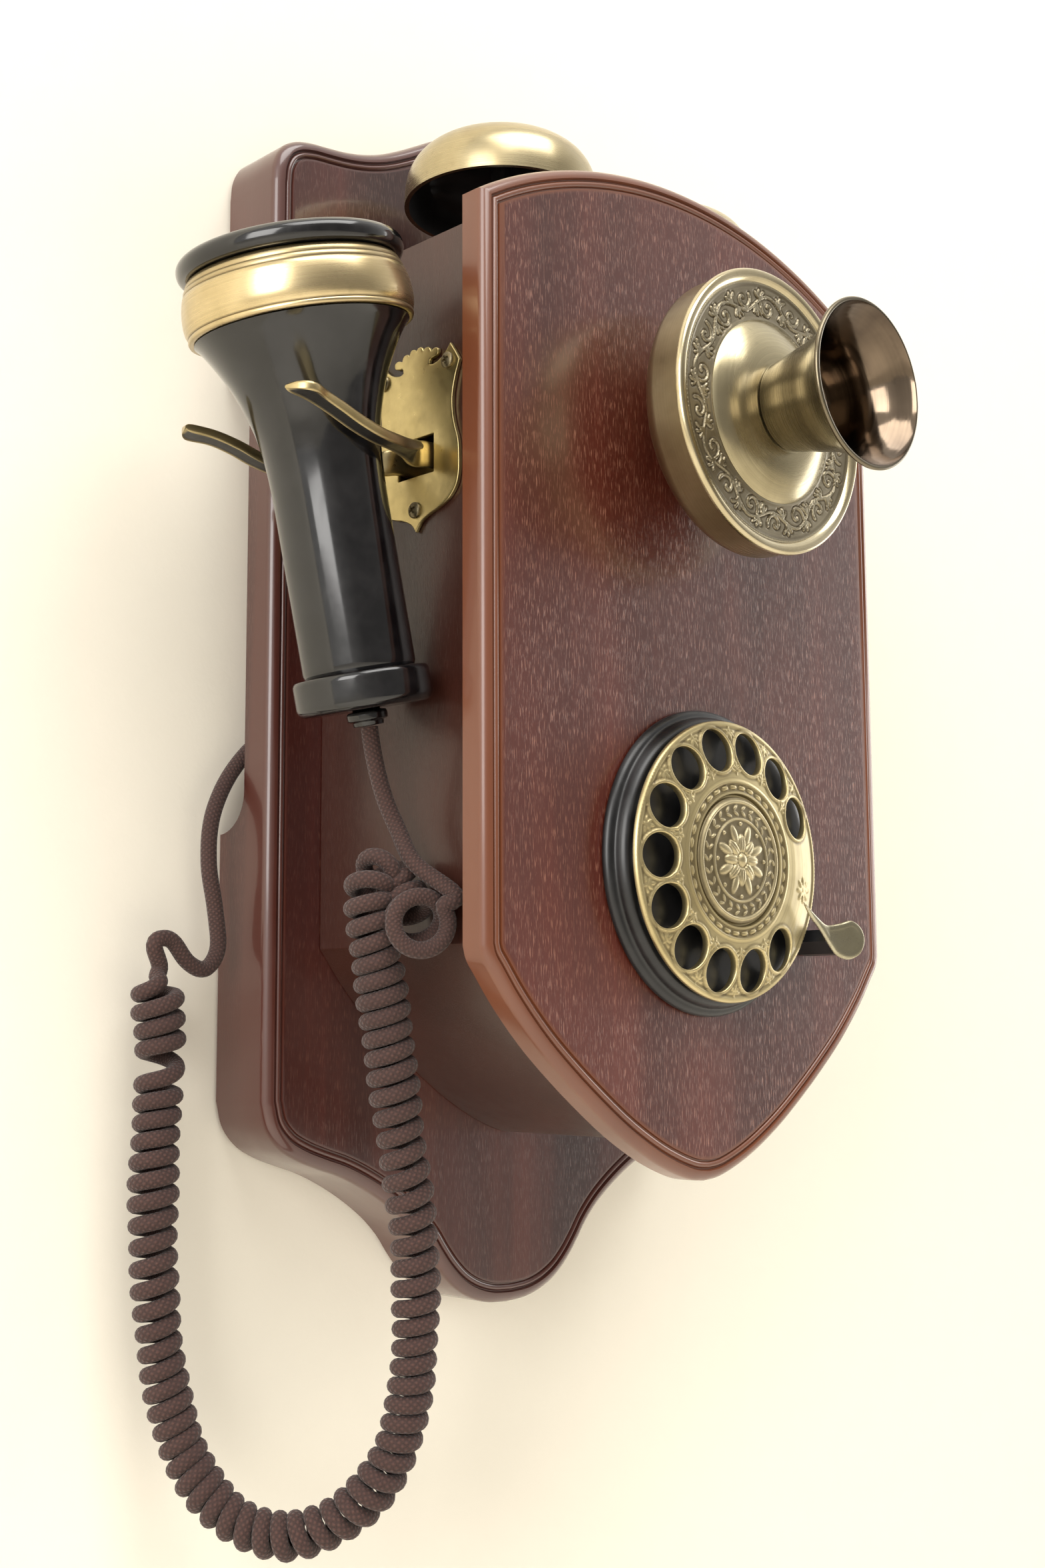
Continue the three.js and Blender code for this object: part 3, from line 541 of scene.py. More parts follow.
def segment_distance(points, lines, closed=True):
    """Distance from each point to the nearest edge of closed loops or of open lines."""
    p = np.asarray(points, float)
    lines = [np.asarray(line, float) for line in lines]
    a = np.vstack([q if closed else q[:-1] for q in lines])
    b = np.vstack([np.roll(q, -1, 0) if closed else q[1:] for q in lines])
    ab = b - a
    l2 = np.maximum((ab ** 2).sum(1), 1e-12)
    best = np.empty(len(p))
    for k in range(0, len(p), BATCH):
        q = p[k:k + BATCH, None, :]
        t = np.clip(((q - a) * ab).sum(2) / l2, 0, 1)
        best[k:k + BATCH] = np.linalg.norm(q - (a + t[..., None] * ab), axis=2).min(1)
    return best


def loop_sign(p):
    """1 for a loop that runs counter-clockwise, else -1."""
    nxt = np.roll(p, -1, 0)
    return 1 if np.sum(p[:, 0] * nxt[:, 1] - nxt[:, 0] * p[:, 1]) > 0 else -1


def inset(outline, d):
    """The outline moved inward by d. Points that would fold over are drawn out between their neighbours."""
    if d < 1e-6:
        return np.array(outline, float)
    p = np.array(outline, float)
    prev, nxt = np.roll(p, 1, 0), np.roll(p, -1, 0)
    u = (p - prev) / np.linalg.norm(p - prev, axis=1)[:, None]
    v = (nxt - p) / np.linalg.norm(nxt - p, axis=1)[:, None]
    nrm = np.stack([-(u[:, 1] + v[:, 1]), u[:, 0] + v[:, 0]], 1)
    k = loop_sign(p) * d / np.maximum(0.7, 1 + (u * v).sum(1))
    q = p + nrm * k[:, None]
    good = segment_distance(q, [p]) > d - 0.03
    idx = np.flatnonzero(good)
    n = len(p)
    for i in np.flatnonzero(~good):
        before = idx[idx < i][-1] if (idx < i).any() else idx[-1] - n
        after = idx[idx > i][0] if (idx > i).any() else idx[0] + n
        t = (i - before) / (after - before)
        q[i] = (1 - t) * q[before % n] + t * q[after % n]
    return q


def skin(rows, n):
    """Faces over rows of n points each, with both ends capped."""
    faces = []
    for i in range(rows - 1):
        for k in range(n):
            l = (k + 1) % n
            faces.append((i * n + k, i * n + l, (i + 1) * n + l, (i + 1) * n + k))
    return faces + [tuple(range(n))[::-1], tuple(range((rows - 1) * n, rows * n))]


def moulding(name, outline, profile, mats, body, replaces, face_from):
    """A board. Profile points are (inset, Y) from its back edge to its face. Its back and face are flat."""
    verts, mould = [], []
    n = len(outline)
    cache = {}
    for d, y in profile:
        ring = cache.setdefault(round(d, 4), inset(outline, d))
        verts += [(x, y, z) for x, z in ring]
        mould += [1.0 if d < face_from else 0.0] * n
    return make(name, verts, skin(len(profile), n), mats, body, replaces, 28, None, {"mould": mould})


def inside(points, loop):
    """Which points lie inside a loop."""
    p = np.asarray(points, float)
    a = np.asarray(loop, float)
    b = np.roll(a, -1, 0)
    hit = np.zeros(len(p), bool)
    for (x0, y0), (x1, y1) in zip(a, b):
        if y0 == y1:
            continue
        cross = (p[:, 1] >= min(y0, y1)) & (p[:, 1] < max(y0, y1))
        hit ^= cross & (p[:, 0] < x0 + (p[:, 1] - y0) / (y1 - y0) * (x1 - x0))
    return hit


def relief(name, outer, holes, interior, top, bottom, axis, mats, body, replaces, edge, recess=None,
           sharp=40):
    """A plate in relief over a fine triangulation of its outline. top(points, edge distance) gives the height
    of its face. bottom is a like function for its back, or a number."""
    loops = [np.asarray(outer, float)] + [np.asarray(h, float) for h in holes]
    pts = [tuple(q) for loop in loops for q in loop]
    edges, start = [], 0
    for loop in loops:
        n = len(loop)
        edges += [(start + k, start + (k + 1) % n) for k in range(n)]
        start += n
    extra = []
    for share in (0.3, 0.65, 1.0):
        extra.append(inset(loops[0], edge * share))
        for h in loops[1:]:
            extra.append(grow(h, edge * share))
    cand = np.vstack(extra + [np.asarray(interior, float)])
    keep = inside(cand, loops[0])
    for h in loops[1:]:
        keep &= ~inside(cand, h)
    near = segment_distance(cand, loops)
    rings = sum(len(e) for e in extra)
    keep &= near > np.where(np.arange(len(cand)) < rings, edge * 0.2, edge * 1.25)
    pts += [tuple(q) for q in cand[keep]]
    v2, _, f2 = delaunay_2d_cdt([Vector(q) for q in pts], edges, [], 0, 1e-5)[:3]
    p = np.array([tuple(q) for q in v2])
    mid = np.array([p[list(f)].mean(0) for f in f2])
    ok = inside(mid, loops[0])
    for h in loops[1:]:
        ok &= ~inside(mid, h)
    tris = [tuple(f) for f, k in zip(f2, ok) if k]
    used = sorted({i for f in tris for i in f})
    remap = {k: i for i, k in enumerate(used)}
    p = p[used]
    tris = [tuple(remap[i] for i in f) for f in tris]
    dist = segment_distance(p, loops)
    o, u, v, a = axis
    n = len(p)
    ht = top(p, dist)
    hb = bottom(p, dist) if callable(bottom) else np.full(n, float(bottom))
    up = o + np.outer(p[:, 0], u) + np.outer(p[:, 1], v) + np.outer(ht, a)
    dn = o + np.outer(p[:, 0], u) + np.outer(p[:, 1], v) + np.outer(hb, a)
    faces = tris + [tuple(i + n for i in f[::-1]) for f in tris]
    seen = {}
    for f in tris:
        for i in range(3):
            e = (f[i], f[(i + 1) % 3])
            key = tuple(sorted(e))
            seen[key] = None if key in seen else e
    for e in seen.values():
        if e:
            faces.append((e[1], e[0], e[0] + n, e[1] + n))
    attrs = {"recess": np.concatenate([recess(p, dist), np.zeros(n)])} if recess else None
    return make(name, [*up, *dn], faces, mats, body, replaces, sharp, None, attrs)


def grow(loop, d):
    """A round or convex hole's loop moved outward by d."""
    p = np.asarray(loop, float)
    prev, nxt = np.roll(p, 1, 0), np.roll(p, -1, 0)
    t = nxt - prev
    t /= np.linalg.norm(t, axis=1)[:, None]
    nrm = np.stack([t[:, 1], -t[:, 0]], 1)
    return p + nrm * loop_sign(p) * d


def polar(r, a):
    return r * math.cos(a), r * math.sin(a)


def circle(x, y, r, n):
    return [(x + r * math.cos(TAU * k / n), y + r * math.sin(TAU * k / n)) for k in range(n)]


def polar_grid(r0, r1, step):
    out = []
    rows = max(1, int(round((r1 - r0) / step)))
    for i in range(rows + 1):
        r = r0 + (r1 - r0) * i / rows
        n = max(6, int(round(TAU * r / step))) if r > 1e-6 else 1
        turn = 0.5 * (i % 2)
        out += [polar(r, TAU * (k + turn) / n) for k in range(n)]
    return out


def square_grid(x0, x1, y0, y1, step):
    nx, ny = int((x1 - x0) / step) + 1, int((y1 - y0) / step) + 1
    return [(x0 + (i + 0.5 * (j % 2)) * step, y0 + j * step) for i in range(nx) for j in range(ny)]


def rounded_edge(dist, r):
    """How far a face drops near its edge, for a rounded edge of radius r."""
    t = np.clip(1 - dist / r, 0, 1)
    return r * (1 - np.sqrt(1 - t ** 2))


def smoothstep(x, a, b):
    t = np.clip((x - a) / (b - a), 0, 1)
    return t * t * (3 - 2 * t)


def along_x(y, z, x):
    return x, y, z


def along_y(x, z, y):
    return x, y, z


def prism(loop, at0, at1, along):
    """Solid between two copies of a loop. along turns a loop point and a place on the axis into (x, y, z)."""
    return [along(u, v, at) for at in (at0, at1) for u, v in loop], skin(2, len(loop))


def cut_prism(ob, loop, at0, at1, along):
    """Takes a prism out of ob."""
    verts, faces = prism(loop, at0, at1, along)
    me = bpy.data.meshes.new("tool")
    me.from_pydata([tuple(c * MM for c in v) for v in verts], [], faces)
    bm = bmesh.new()
    bm.from_mesh(me)
    bmesh.ops.recalc_face_normals(bm, faces=bm.faces)
    bm.to_mesh(me)
    bm.free()
    tool = add_object("tool", me)
    mod = ob.modifiers.new("cut", "BOOLEAN")
    mod.operation, mod.solver, mod.object = "DIFFERENCE", "EXACT", tool
    bpy.context.view_layer.update()
    dg = bpy.context.evaluated_depsgraph_get()
    mesh = bpy.data.meshes.new_from_object(ob.evaluated_get(dg))
    ob.modifiers.clear()
    old = ob.data
    ob.data = mesh
    bpy.data.meshes.remove(old)
    bpy.data.objects.remove(tool)


# ---------------- wooden body
board_foot = spline([(0, -212.6), (9, -211.9), (17, -209.6), (24, -205.8), (30, -200.5), (35, -194.6),
    (39.5, -188.6), (46, -182.2), (56, -175), (66, -169.3), (75, -165.2), (84, -162.2), (92, -159.2),
    (99, -155.3), (104.5, -149), (107, -140.5)], 1.6)
board_head = spline([(107, 163), (106.2, 170), (103.3, 175.8), (98.5, 179.4), (92, 181.3), (84.5, 182.2),
    (77, 183.2), (69, 185), (60.5, 188), (51.8, 192.3), (43, 197.3), (34.8, 202), (26, 206), (17.5, 209),
    (9, 210.8), (0, 211.4)], 1.6)
BOARD = both_sides([*board_foot, *board_head])


def bead_profile(y_face, r, groove, small, line):
    """(inset, Y) points of a moulded edge: quarter bead, groove, small bead, fine line, then the face."""
    pts = [(r * (1 - math.cos(a)), y_face + r * (1 - math.sin(a))) for a in np.linspace(0, math.pi / 2, 9)]
    x = r + 0.15
    pts += [(x + 0.1, y_face + 0.5), (x + 0.35, y_face + groove), (x + 0.6, y_face + groove)]
    for a in np.linspace(0.15, math.pi - 0.15, 8):
        pts.append((x + 0.75 + small * (1 - math.cos(a)), y_face + groove - (groove + 0.05) * math.sin(a)))
    x2 = x + 0.75 + 2 * small
    pts += [(x2 + 0.15, y_face + 0.8), (x2 + 0.4, y_face + 0.8), (x2 + 0.6, y_face + 0.1), (line, y_face)]
    return pts


SCOOP_Y, SCOOP_R = -0.2, 13.5


def scoop_arc(z, start):
    """A quarter of the finger scoop's rounded end, from the angle start."""
    return [(SCOOP_Y + SCOOP_R * math.cos(a), z + SCOOP_R * math.sin(a))
            for a in np.linspace(start, start + math.pi / 2, 14)]


SCOOP = [(3, -55), (3, 102)] + scoop_arc(87, math.pi / 2) + scoop_arc(-41, math.pi)
HANGER_RECESS = [(-17.3, 150.7), (17.3, 150.7), (17.3, 179.3), (-17.3, 179.3)]

board = moulding("back_board", BOARD, [(0.9, 0.0), (0.0, -0.9), (0.0, -13.0)]
    + bead_profile(-27, 3.5, 1.0, 0.95, 7.5) + [(7.7, -27)], "board", None,
    "board_front board_rear_layer", 7.0)
for x0, x1 in ((-130, -83), (83, 130)):
    cut_prism(board, SCOOP, x0, x1, along_x)
cut_prism(board, HANGER_RECESS, 5, -3.3, along_y)
cut_prism(board, circle(-6.6, -20, 4.3, 32), -100, -60, along_x)
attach(board, "body")

panel_foot = spline([(0, -165.8), (6, -165.2), (13, -163.2), (22, -159.6), (31, -155), (40, -149.6),
    (51, -141.9), (63, -132.7), (75, -122.4), (86.5, -110.3), (93, -102), (96.4, -97.4), (97.6, -93.5)], 1.5)
panel_arch = [(97.6 * u, 161 - 25.9 * u ** 2 - 1.3 * u ** 4 - 0.9 * u ** 8) for u in np.linspace(1, 0, 60)]
PANEL = both_sides([*panel_foot, *panel_arch])
moulding("front_panel_face", PANEL, [(0.6, -107.0), (0.0, -107.6)] + bead_profile(FACE, 3.2, 1.0, 1.0, 7.9)
    + [(8.1, FACE)], "case", "body", "front_panel", 7.4)


def case_shell():
    """The case's sides and foot as one bent wall, 8 thick, open at the top."""
    whole = both_sides([*panel_foot, (97.6, 60), (0, 60)])

    def wall_line(d):
        """From the right wall's top round the foot to the left's, moved in by d from the panel's edge."""
        half = [tuple(q) for q, (x, z) in zip(inset(whole, d), whole) if x >= 0 and z < -92.6][::-1]
        half = [(97.6 - d, 131.5)] + [q for q in half if q[0] >= -1e-9]
        return half + [(-x, z) for x, z in half[-2::-1]]

    outer, inner = wall_line(11.6), wall_line(19.6)
    verts, faces = prism(outer + inner[::-1], -27.3, -106.9, along_y)
    n = 2 * len(outer)
    faces = faces[:-2]
    for base, flip in ((0, False), (n, True)):
        for j in range(len(outer) - 1):
            q = (base + j, base + j + 1, base + n - 2 - j, base + n - 1 - j)
            faces.append(q[::-1] if flip else q)
    return verts, faces


verts, faces = case_shell()
shell = make("case_shell", verts, faces, "side", None,
    "case_side_left case_side_right case_foot", 24, None, {"mould": [0.35] * len(verts)})
cut_prism(shell, [(-83.3, 52.4), (-66.7, 52.4), (-66.7, 68.6), (-83.3, 68.6)], -100, -60, along_x)
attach(shell, "body")


# ---------------- bells
def bell_line(r, h, start, end, count):
    power = 2 / BELL_BEND
    return [(max(r * math.cos(a) ** power, BELL_BORE), h * math.sin(a) ** power)
        for a in np.linspace(start, end, count)]


def bell(side, s):
    outer = bell_line(BELL_R, BELL_H, 0, math.pi / 2, 26)
    inner = bell_line(BELL_R - BELL_WALL, BELL_H - BELL_WALL, math.pi / 2, 0, 22)
    rim = [(BELL_R - 1.2, 0.0), (BELL_R - 0.35, -0.02)]
    prof = outer + inner + rim
    split = len(outer) - 1
    # The hollow under the dome gets the near-black material: painted shade.
    lathe(f"bell_{side}", prof, axis_z(s * BELL_X, BELL_Y, BELL_Z), "bell bell_in", "body",
        f"bell_gong_{side}", 128, part=lambda i: 1 if split < i < len(prof) - 3 else 0)
    nut = fillet([(2.2, 0.3), (4.2, 0.3), (4.2, 1.8), (2.6, 2.6), (2.2, 2.6)], 0.4, 4, True)
    lathe(f"bell_cap_{side}", nut, axis_z(s * BELL_X, BELL_Y, BELL_Z + BELL_H), "gold", "body",
        f"bell_nut_{side}", 48)


bell("left", -1)
bell("right", 1)

# ---------------- mouthpiece
mouth_axis = axis_y(0, MOUTH_Z)
shell_out = fillet([(6.5, 0.3), (21, 0.3), (23.5, 1.6), (31, 6.5), (39, 12), (43.4, 15.8), (45.2, 18.6),
    (45.2, 29.6)], 2.0, 5)
shell_in = fillet([(43.4, 29.6), (43.2, 19.4), (37.5, 13.8), (29.5, 8.4), (21.4, 4.4), (6.5, 4.2)], 1.2, 4)
lathe("mouth_shell", shell_out + shell_in, mouth_axis, "shell", "body", "transmitter_shell",
    128)
bezel_round = [(46.4 - 1.3 * (1 - math.cos(a)), 30.3 + 1.9 * math.sin(a))
               for a in np.linspace(0, math.pi / 2, 8)]
bezel = [(41, 29.9), (45.9, 29.9), *bezel_round, (44.2, 32.25), (43.4, 31.9), (42.5, 31.3), (42.2, 30.9),
    (41.4, 30.8)]
lathe("mouth_bezel", bezel, mouth_axis, "bezel", "body", "transmitter_bezel", 128)


def vine_lines():
    """A running vine in polar form round the flange: a wave with tendrils and leaves, as lists of points."""
    lines = []
    repeats = 9
    mid, swing = 35.6, 2.5
    width = TAU / repeats
    for k in range(repeats):
        a0 = TAU * k / repeats
        lines.append([(mid + swing * math.sin(TAU * t), a0 + width * t) for t in np.linspace(0, 1, 26)])
        for sign, at in ((1, 0.22), (-1, 0.72)):
            tendril = []
            for t in np.linspace(0, 1, 26):
                x, y = polar(3.3 * (1 - t) ** 0.8 + 0.35, sign * (1.2 + 5.6 * t))
                tendril.append((mid - sign * 1.2 + x, a0 + width * (at + 0.06) + y / mid))
            lines.append(tendril)
        for sign, at in ((1, 0.42), (-1, 0.94), (1, 0.02), (-1, 0.5)):
            leaf_r, leaf_a = mid + sign * 1.1, a0 + width * at
            for lean in (-0.6, 0.1, 0.8):
                leaf = []
                for t in np.linspace(0, 1, 9):
                    bend = 2.9 * t * math.sin(lean) + 0.5 * math.sin(math.pi * t)
                    leaf.append((leaf_r + sign * 3.0 * t * math.cos(lean), leaf_a + bend / mid))
                lines.append(leaf)
    return [[polar(r, a) for r, a in line] for line in lines]


VINE = vine_lines()
FINE = 0.34


def flange_parts(p):
    """Radius, and how much of a strand, of the groove beside it and of the engraved band each point has."""
    r = np.linalg.norm(p, axis=1)
    d = segment_distance(p, VINE, False)
    band = smoothstep(r, 30.4, 30.9) * (1 - smoothstep(r, 40.9, 41.3))
    strand = (1 - smoothstep(d, 0.34, 0.62)) * band
    groove = np.exp(-((d - 0.72) / 0.26) ** 2) * band
    return r, strand, groove, band


def flange_top(p, dist):
    _, strand, groove, band = flange_parts(p)
    field = 30.95 - 0.28 * band
    return field + 0.34 * strand - 0.22 * groove - rounded_edge(dist, 0.2)


def flange_dark(p, dist):
    r, strand, groove, band = flange_parts(p)
    return np.clip(0.30 * band + 0.75 * groove - 0.5 * strand + 0.6 * np.exp(-((r - 41.1) / 0.35) ** 2)
        + 0.6 * np.exp(-((r - 30.6) / 0.3) ** 2), 0, 1)


relief("mouth_flange", circle(0, 0, 42.1, 200), [circle(0, 0, 29.6, 160)], polar_grid(29.9, 41.9, FINE),
    flange_top, 29.2, mouth_axis, "flange", "body", "", 0.2, flange_dark)
dome_round = [(29.5 - 15.3 * t, 31.1 + 5.7 * math.sin(t * math.pi / 2) ** 0.85) for t in np.linspace(0, 1, 26)]
dome = [(9, 28.6), (29.7, 28.6), (29.7, 30.9), *dome_round, (14.0, 36.95), (9, 36.95)]
lathe("mouth_dome", dome, mouth_axis, "dome", "body", "transmitter_face", 128, sharp=40)
horn_out = spline([(14.3, 37.3), (15.0, 40.5), (16.2, 45.5), (17.3, 50.5), (18.5, 55), (20.3, 59.2),
    (22.6, 62.8), (24.9, 65.6), (26.0, 66.9)], 1.0)
lip = [(26.0 + 0.85 * math.sin(a), 67.75 - 0.85 * math.cos(a)) for a in np.linspace(0.15, math.pi + 0.5, 12)]
horn_in = spline([(25.2, 67.6), (23.4, 65.4), (21.2, 62.8), (19.0, 59.4), (17.2, 55.4), (15.8, 50),
    (14.2, 44.6), (11.6, 41), (8, 38.9)], 1.0)
horn = [*horn_out, *lip, *horn_in, (8, 37.3)]
inner_from = len(horn_out) + len(lip) - 2
lathe("mouth_horn", horn, mouth_axis, "horn horn_in", "body", "mouthpiece_horn", 128,
    sharp=40, part=lambda i: 1 if inner_from < i < len(horn) - 2 else 0)

# ---------------- dial
dial_axis = axis_y(0, DIAL_Z)
base = fillet([(11, 0.3), (49.3, 0.3), (49.3, 1.9), (48.4, 3.0), (46.7, 3.5), (46.5, 5.6), (45.4, 7.2),
    (43.6, 7.6), (11, 7.6)], 0.9, 5, True)
lathe("dial_ring", base, dial_axis, "dial_black", "body", "dial_base", 144)

FIRST_HOLE, HOLE_STEP, HOLE_RING, HOLE_R = 26.2, 25.67, 35.6, 6.85
HOLES = [polar(HOLE_RING, math.radians(FIRST_HOLE + HOLE_STEP * k)) for k in range(12)]
BETWEEN = [math.radians(FIRST_HOLE + HOLE_STEP * (k + 0.5)) for k in range(11)]
BEADS, BEAD_RING = 34, 23.3


def oval(p, centre, along, half_l, half_w):
    """Height of a raised oval: 1 in its middle, 0 at its edge. along is the long axis's angle."""
    d = p - np.array(centre)
    c, s = polar(1, along)
    x, y = d[:, 0] * c + d[:, 1] * s, -d[:, 0] * s + d[:, 1] * c
    return np.sqrt(np.clip(1 - (x / half_l) ** 2 - (y / half_w) ** 2, 0, 1))


def sprig(p, a, r, out):
    """A sprig of leaves at polar (r, a), pointing out (1) or in (-1)."""
    radial = np.array(polar(1, a))
    side = np.array([-radial[1], radial[0]])
    leaves = [(0, 1.2, 0, 1.7, 0.55), (0, -0.9, 0, 1.1, 0.4)]
    for s in (-1, 1):
        leaves += [(s * 0.95, 0.55, s * 0.75, 1.35, 0.5), (s * 1.5, -0.6, s * 1.35, 1.2, 0.42)]
    ovals = [oval(p, radial * r + side * across + radial * ahead * out, a + out * lean, half_l, half_w)
             for across, ahead, lean, half_l, half_w in leaves]
    return np.maximum.reduce(ovals)


def wheel_parts(p):
    """Radius, distance from the nearest hole, and the heights of the bead row and of the other ornaments."""
    r = np.linalg.norm(p, axis=1)
    a = np.arctan2(p[:, 1], p[:, 0])
    hole = np.min([np.hypot(p[:, 0] - x, p[:, 1] - y) for x, y in HOLES], axis=0) - HOLE_R
    raised = [sprig(p, b, ring, out) for b in BETWEEN for ring, out in ((29.4, 1), (41.4, -1))]
    step = TAU / BEADS
    local = (a / step - np.round(a / step)) * step * BEAD_RING
    beads = np.sqrt(np.clip(1 - (local / 1.75) ** 2 - ((r - BEAD_RING) / 0.72) ** 2, 0, 1))
    blank = np.array(polar(36.2, math.radians(-12.7)))
    raised.append(oval(p, blank, 0, 1.25, 1.25))
    for k in range(8):
        t = TAU * k / 8
        raised.append(oval(p, blank + polar(2.6, t), t, 1.9, 0.85))
    return r, hole, beads, np.maximum.reduce(raised)


def wheel_base(r):
    return np.interp(r, [20.9, 25.4, 30, 36, 41, 44, 45], [14.5, 14.3, 13.8, 12.7, 11.4, 10.5, 10.2])


def wheel_top(p, dist):
    r, hole, beads, raised = wheel_parts(p)
    h = wheel_base(r)
    h = h + 0.42 * (1 - smoothstep(hole, 0.75, 1.35))
    h = h + 0.45 * smoothstep(r, 43.0, 43.6)
    channel = smoothstep(r, 22.0, 22.3) * (1 - smoothstep(r, 24.3, 24.6))
    middle = h + 0.3 * smoothstep(r, 24.4, 24.8) - 0.35 * channel
    h = np.where(r < 25.2, middle, h + 0.3 * (1 - smoothstep(r, 25.2, 25.7)))
    h = h + 0.55 * beads + 0.36 * raised
    h = np.where(r < 21.4, np.minimum(h, 13.2 + 1.6 * smoothstep(r, 20.7, 21.3)), h)
    return h - rounded_edge(dist, 0.55)


def wheel_bottom(p, dist):
    r = np.linalg.norm(p, axis=1)
    return np.interp(r, [9, 25.4, 43.4, 45], [11.7, 12.3, 8.9, 9.1]) + rounded_edge(dist, 0.4) * 0.6


def wheel_dark(p, dist):
    r, hole, beads, raised = wheel_parts(p)
    d = 0.5 * np.exp(-((hole - 1.5) / 0.45) ** 2) + 0.6 * np.exp(-((r - 42.7) / 0.4) ** 2)
    d += 0.8 * ((r > 22.0) & (r < 24.6)) * (1 - beads) + 0.7 * np.exp(-((r - 20.9) / 0.4) ** 2)
    near = (raised < 0.05) & (hole > 1.0) & (r > 26) & (r < 43)
    d += 0.16 * near
    return np.clip(d - 0.6 * raised, 0, 1)


wheel_step = 0.42
wheel_holes = [circle(0, 0, 11.0, 60)] + [circle(x, y, HOLE_R, 56) for x, y in HOLES]
relief("finger_ring", circle(0, 0, 45, 220), wheel_holes, polar_grid(12, 44.7, wheel_step), wheel_top,
    wheel_bottom, dial_axis, "wheel", "dial", "finger_wheel", 0.55, wheel_dark, sharp=50)


def emblem(p):
    """Height of the medallion's raised pattern: rims, a wreath of small leaves and a double rosette."""
    r = np.linalg.norm(p, axis=1)
    h = 0.6 * (1 - smoothstep(np.abs(r - 18.7), 0.35, 0.75))
    h = h + 0.45 * (1 - smoothstep(np.abs(r - 13.1), 0.2, 0.5))
    for k in range(26):
        a = TAU * k / 26
        for lean, rad in ((0.62, 16.85), (-0.62, 14.95)):
            h = np.maximum(h, 0.5 * oval(p, polar(rad, a), a + math.pi / 2 + lean, 1.35, 0.5))
    for k in range(8):
        a = TAU * (k + 0.5) / 8
        h = np.maximum(h, 0.75 * oval(p, polar(8.2, a), a, 3.6, 1.5))
        h = np.maximum(h, 0.6 * oval(p, polar(11.6, a + 0.39), 0, 0.7, 0.7))
    for k in range(8):
        a = TAU * k / 8
        petal = oval(p, polar(4.9, a), a, 3.5, 1.75)
        across = np.abs(-p[:, 0] * math.sin(a) + p[:, 1] * math.cos(a))
        h = np.maximum(h, (petal > 0) * (1.05 * petal - 0.25 * (1 - smoothstep(across, 0.05, 0.35))))
    h = np.maximum(h, 1.35 * oval(p, (0, 0), 0, 2.2, 2.2))
    return h - 0.3 * (1 - smoothstep(np.abs(r - 2.5), 0.1, 0.35))


def emblem_top(p, dist):
    r = np.linalg.norm(p, axis=1)
    return 14.3 + 0.9 * (1 - (r / 20.3) ** 2) + emblem(p) - rounded_edge(dist, 0.6)


emblem_step = 0.3
relief("dial_emblem", circle(0, 0, 20.2, 140), [], polar_grid(0, 19.9, emblem_step), emblem_top, 13.5,
    dial_axis, "medallion", "dial", "dial_medallion", 0.5,
    lambda p, d: np.clip(0.8 - 1.5 * emblem(p), 0, 1), sharp=60)

stop_line = spline([(31.2, -12.2), (37.5, -16.5), (43, -19.2), (48.6, -18.6), (53.4, -17.6), (57, -20.2),
    (58.2, -24.2), (56.4, -28.6), (52, -30.6), (47.2, -29.2), (43.6, -25), (39, -20.4), (34.5, -16.6),
    (31.4, -12.7)], 0.5)


def curl(p):
    """How far the finger stop's outer end bends away from the dial."""
    return 0.3 * np.clip(p[:, 0] - 44, 0, None)


def stop_top(p, dist):
    ridge = 0.15 * np.exp(-((dist - 1.4) / 0.4) ** 2)
    return 16.75 + curl(p) - rounded_edge(dist, 0.7) * 1.2 + ridge


def stop_bottom(p, dist):
    return 15.4 + curl(p) + rounded_edge(dist, 0.3)


relief("stop_blade", stop_line[:-1], [], square_grid(30, 60, -32, -11, 0.5), stop_top, stop_bottom, dial_axis,
    "stop", "body", "finger_stop", 0.7)


# ---------------- hook
def smooth_runs(groups, spacing):
    """Joins smooth runs at sharp corners. Each group is one run."""
    out = []
    for g in groups:
        run = [tuple(q) for q in (spline(g, spacing) if len(g) > 2 else dense(g, spacing, False))]
        out += run if not out else run[1:]
    return out


plate_half = smooth_runs([
    [(0, 36.4), (2.0, 38.9), (6, 41.0), (11, 42.4), (15.6, 44.6), (18.8, 48), (19.9, 52), (20.0, 57),
     (19.6, 62), (18.0, 67), (17.0, 72), (17.0, 77), (18.2, 82.2), (20.2, 87.4)],
    [(20.2, 87.4), (18.2, 90.6), (15.9, 93.8)],
    [(15.9, 93.8), (13.4, 91.2), (10.6, 89.6), (7.6, 89.0), (6.2, 89.4)],
    [(6.2, 89.4), (6.6, 90.9), (8.4, 91.2), (10.2, 91.9), (10.3, 93.4), (8.8, 94.1), (6.9, 93.5)],
    [(6.9, 93.5), (5.9, 95.0), (4.2, 95.2), (3.4, 94.4)],
    [(3.4, 94.4), (2.4, 95.9), (1.0, 96.0), (0, 95.2)]], 0.45)
PLATE = [(y + HOOK_Y, z) for y, z in both_sides(plate_half)]
SCREWS = [(-90.2, 88.2), (-59.8, 88.2), (-75.0, 43.4)]
slot_loop = dense([(-83.3, 54.3), (-66.7, 54.3), (-66.7, 66.5), (-83.3, 66.5)], 0.6)
plate_axis = axis_minus_x(-86.3, 0, 0)


def plate_top(p, dist):
    waves = 0.05 * np.sin(p[:, 1] * 0.23) * smoothstep(dist, 0.5, 3.0)
    return 1.2 - rounded_edge(dist, 0.35) + waves


relief("hook_escutcheon", PLATE, [slot_loop] + [circle(y, z, 1.6, 24) for y, z in SCREWS],
    square_grid(-97, -53, 35, 97, 0.9), plate_top, 0, plate_axis, "plate", "body", "hook_plate",
    0.35)


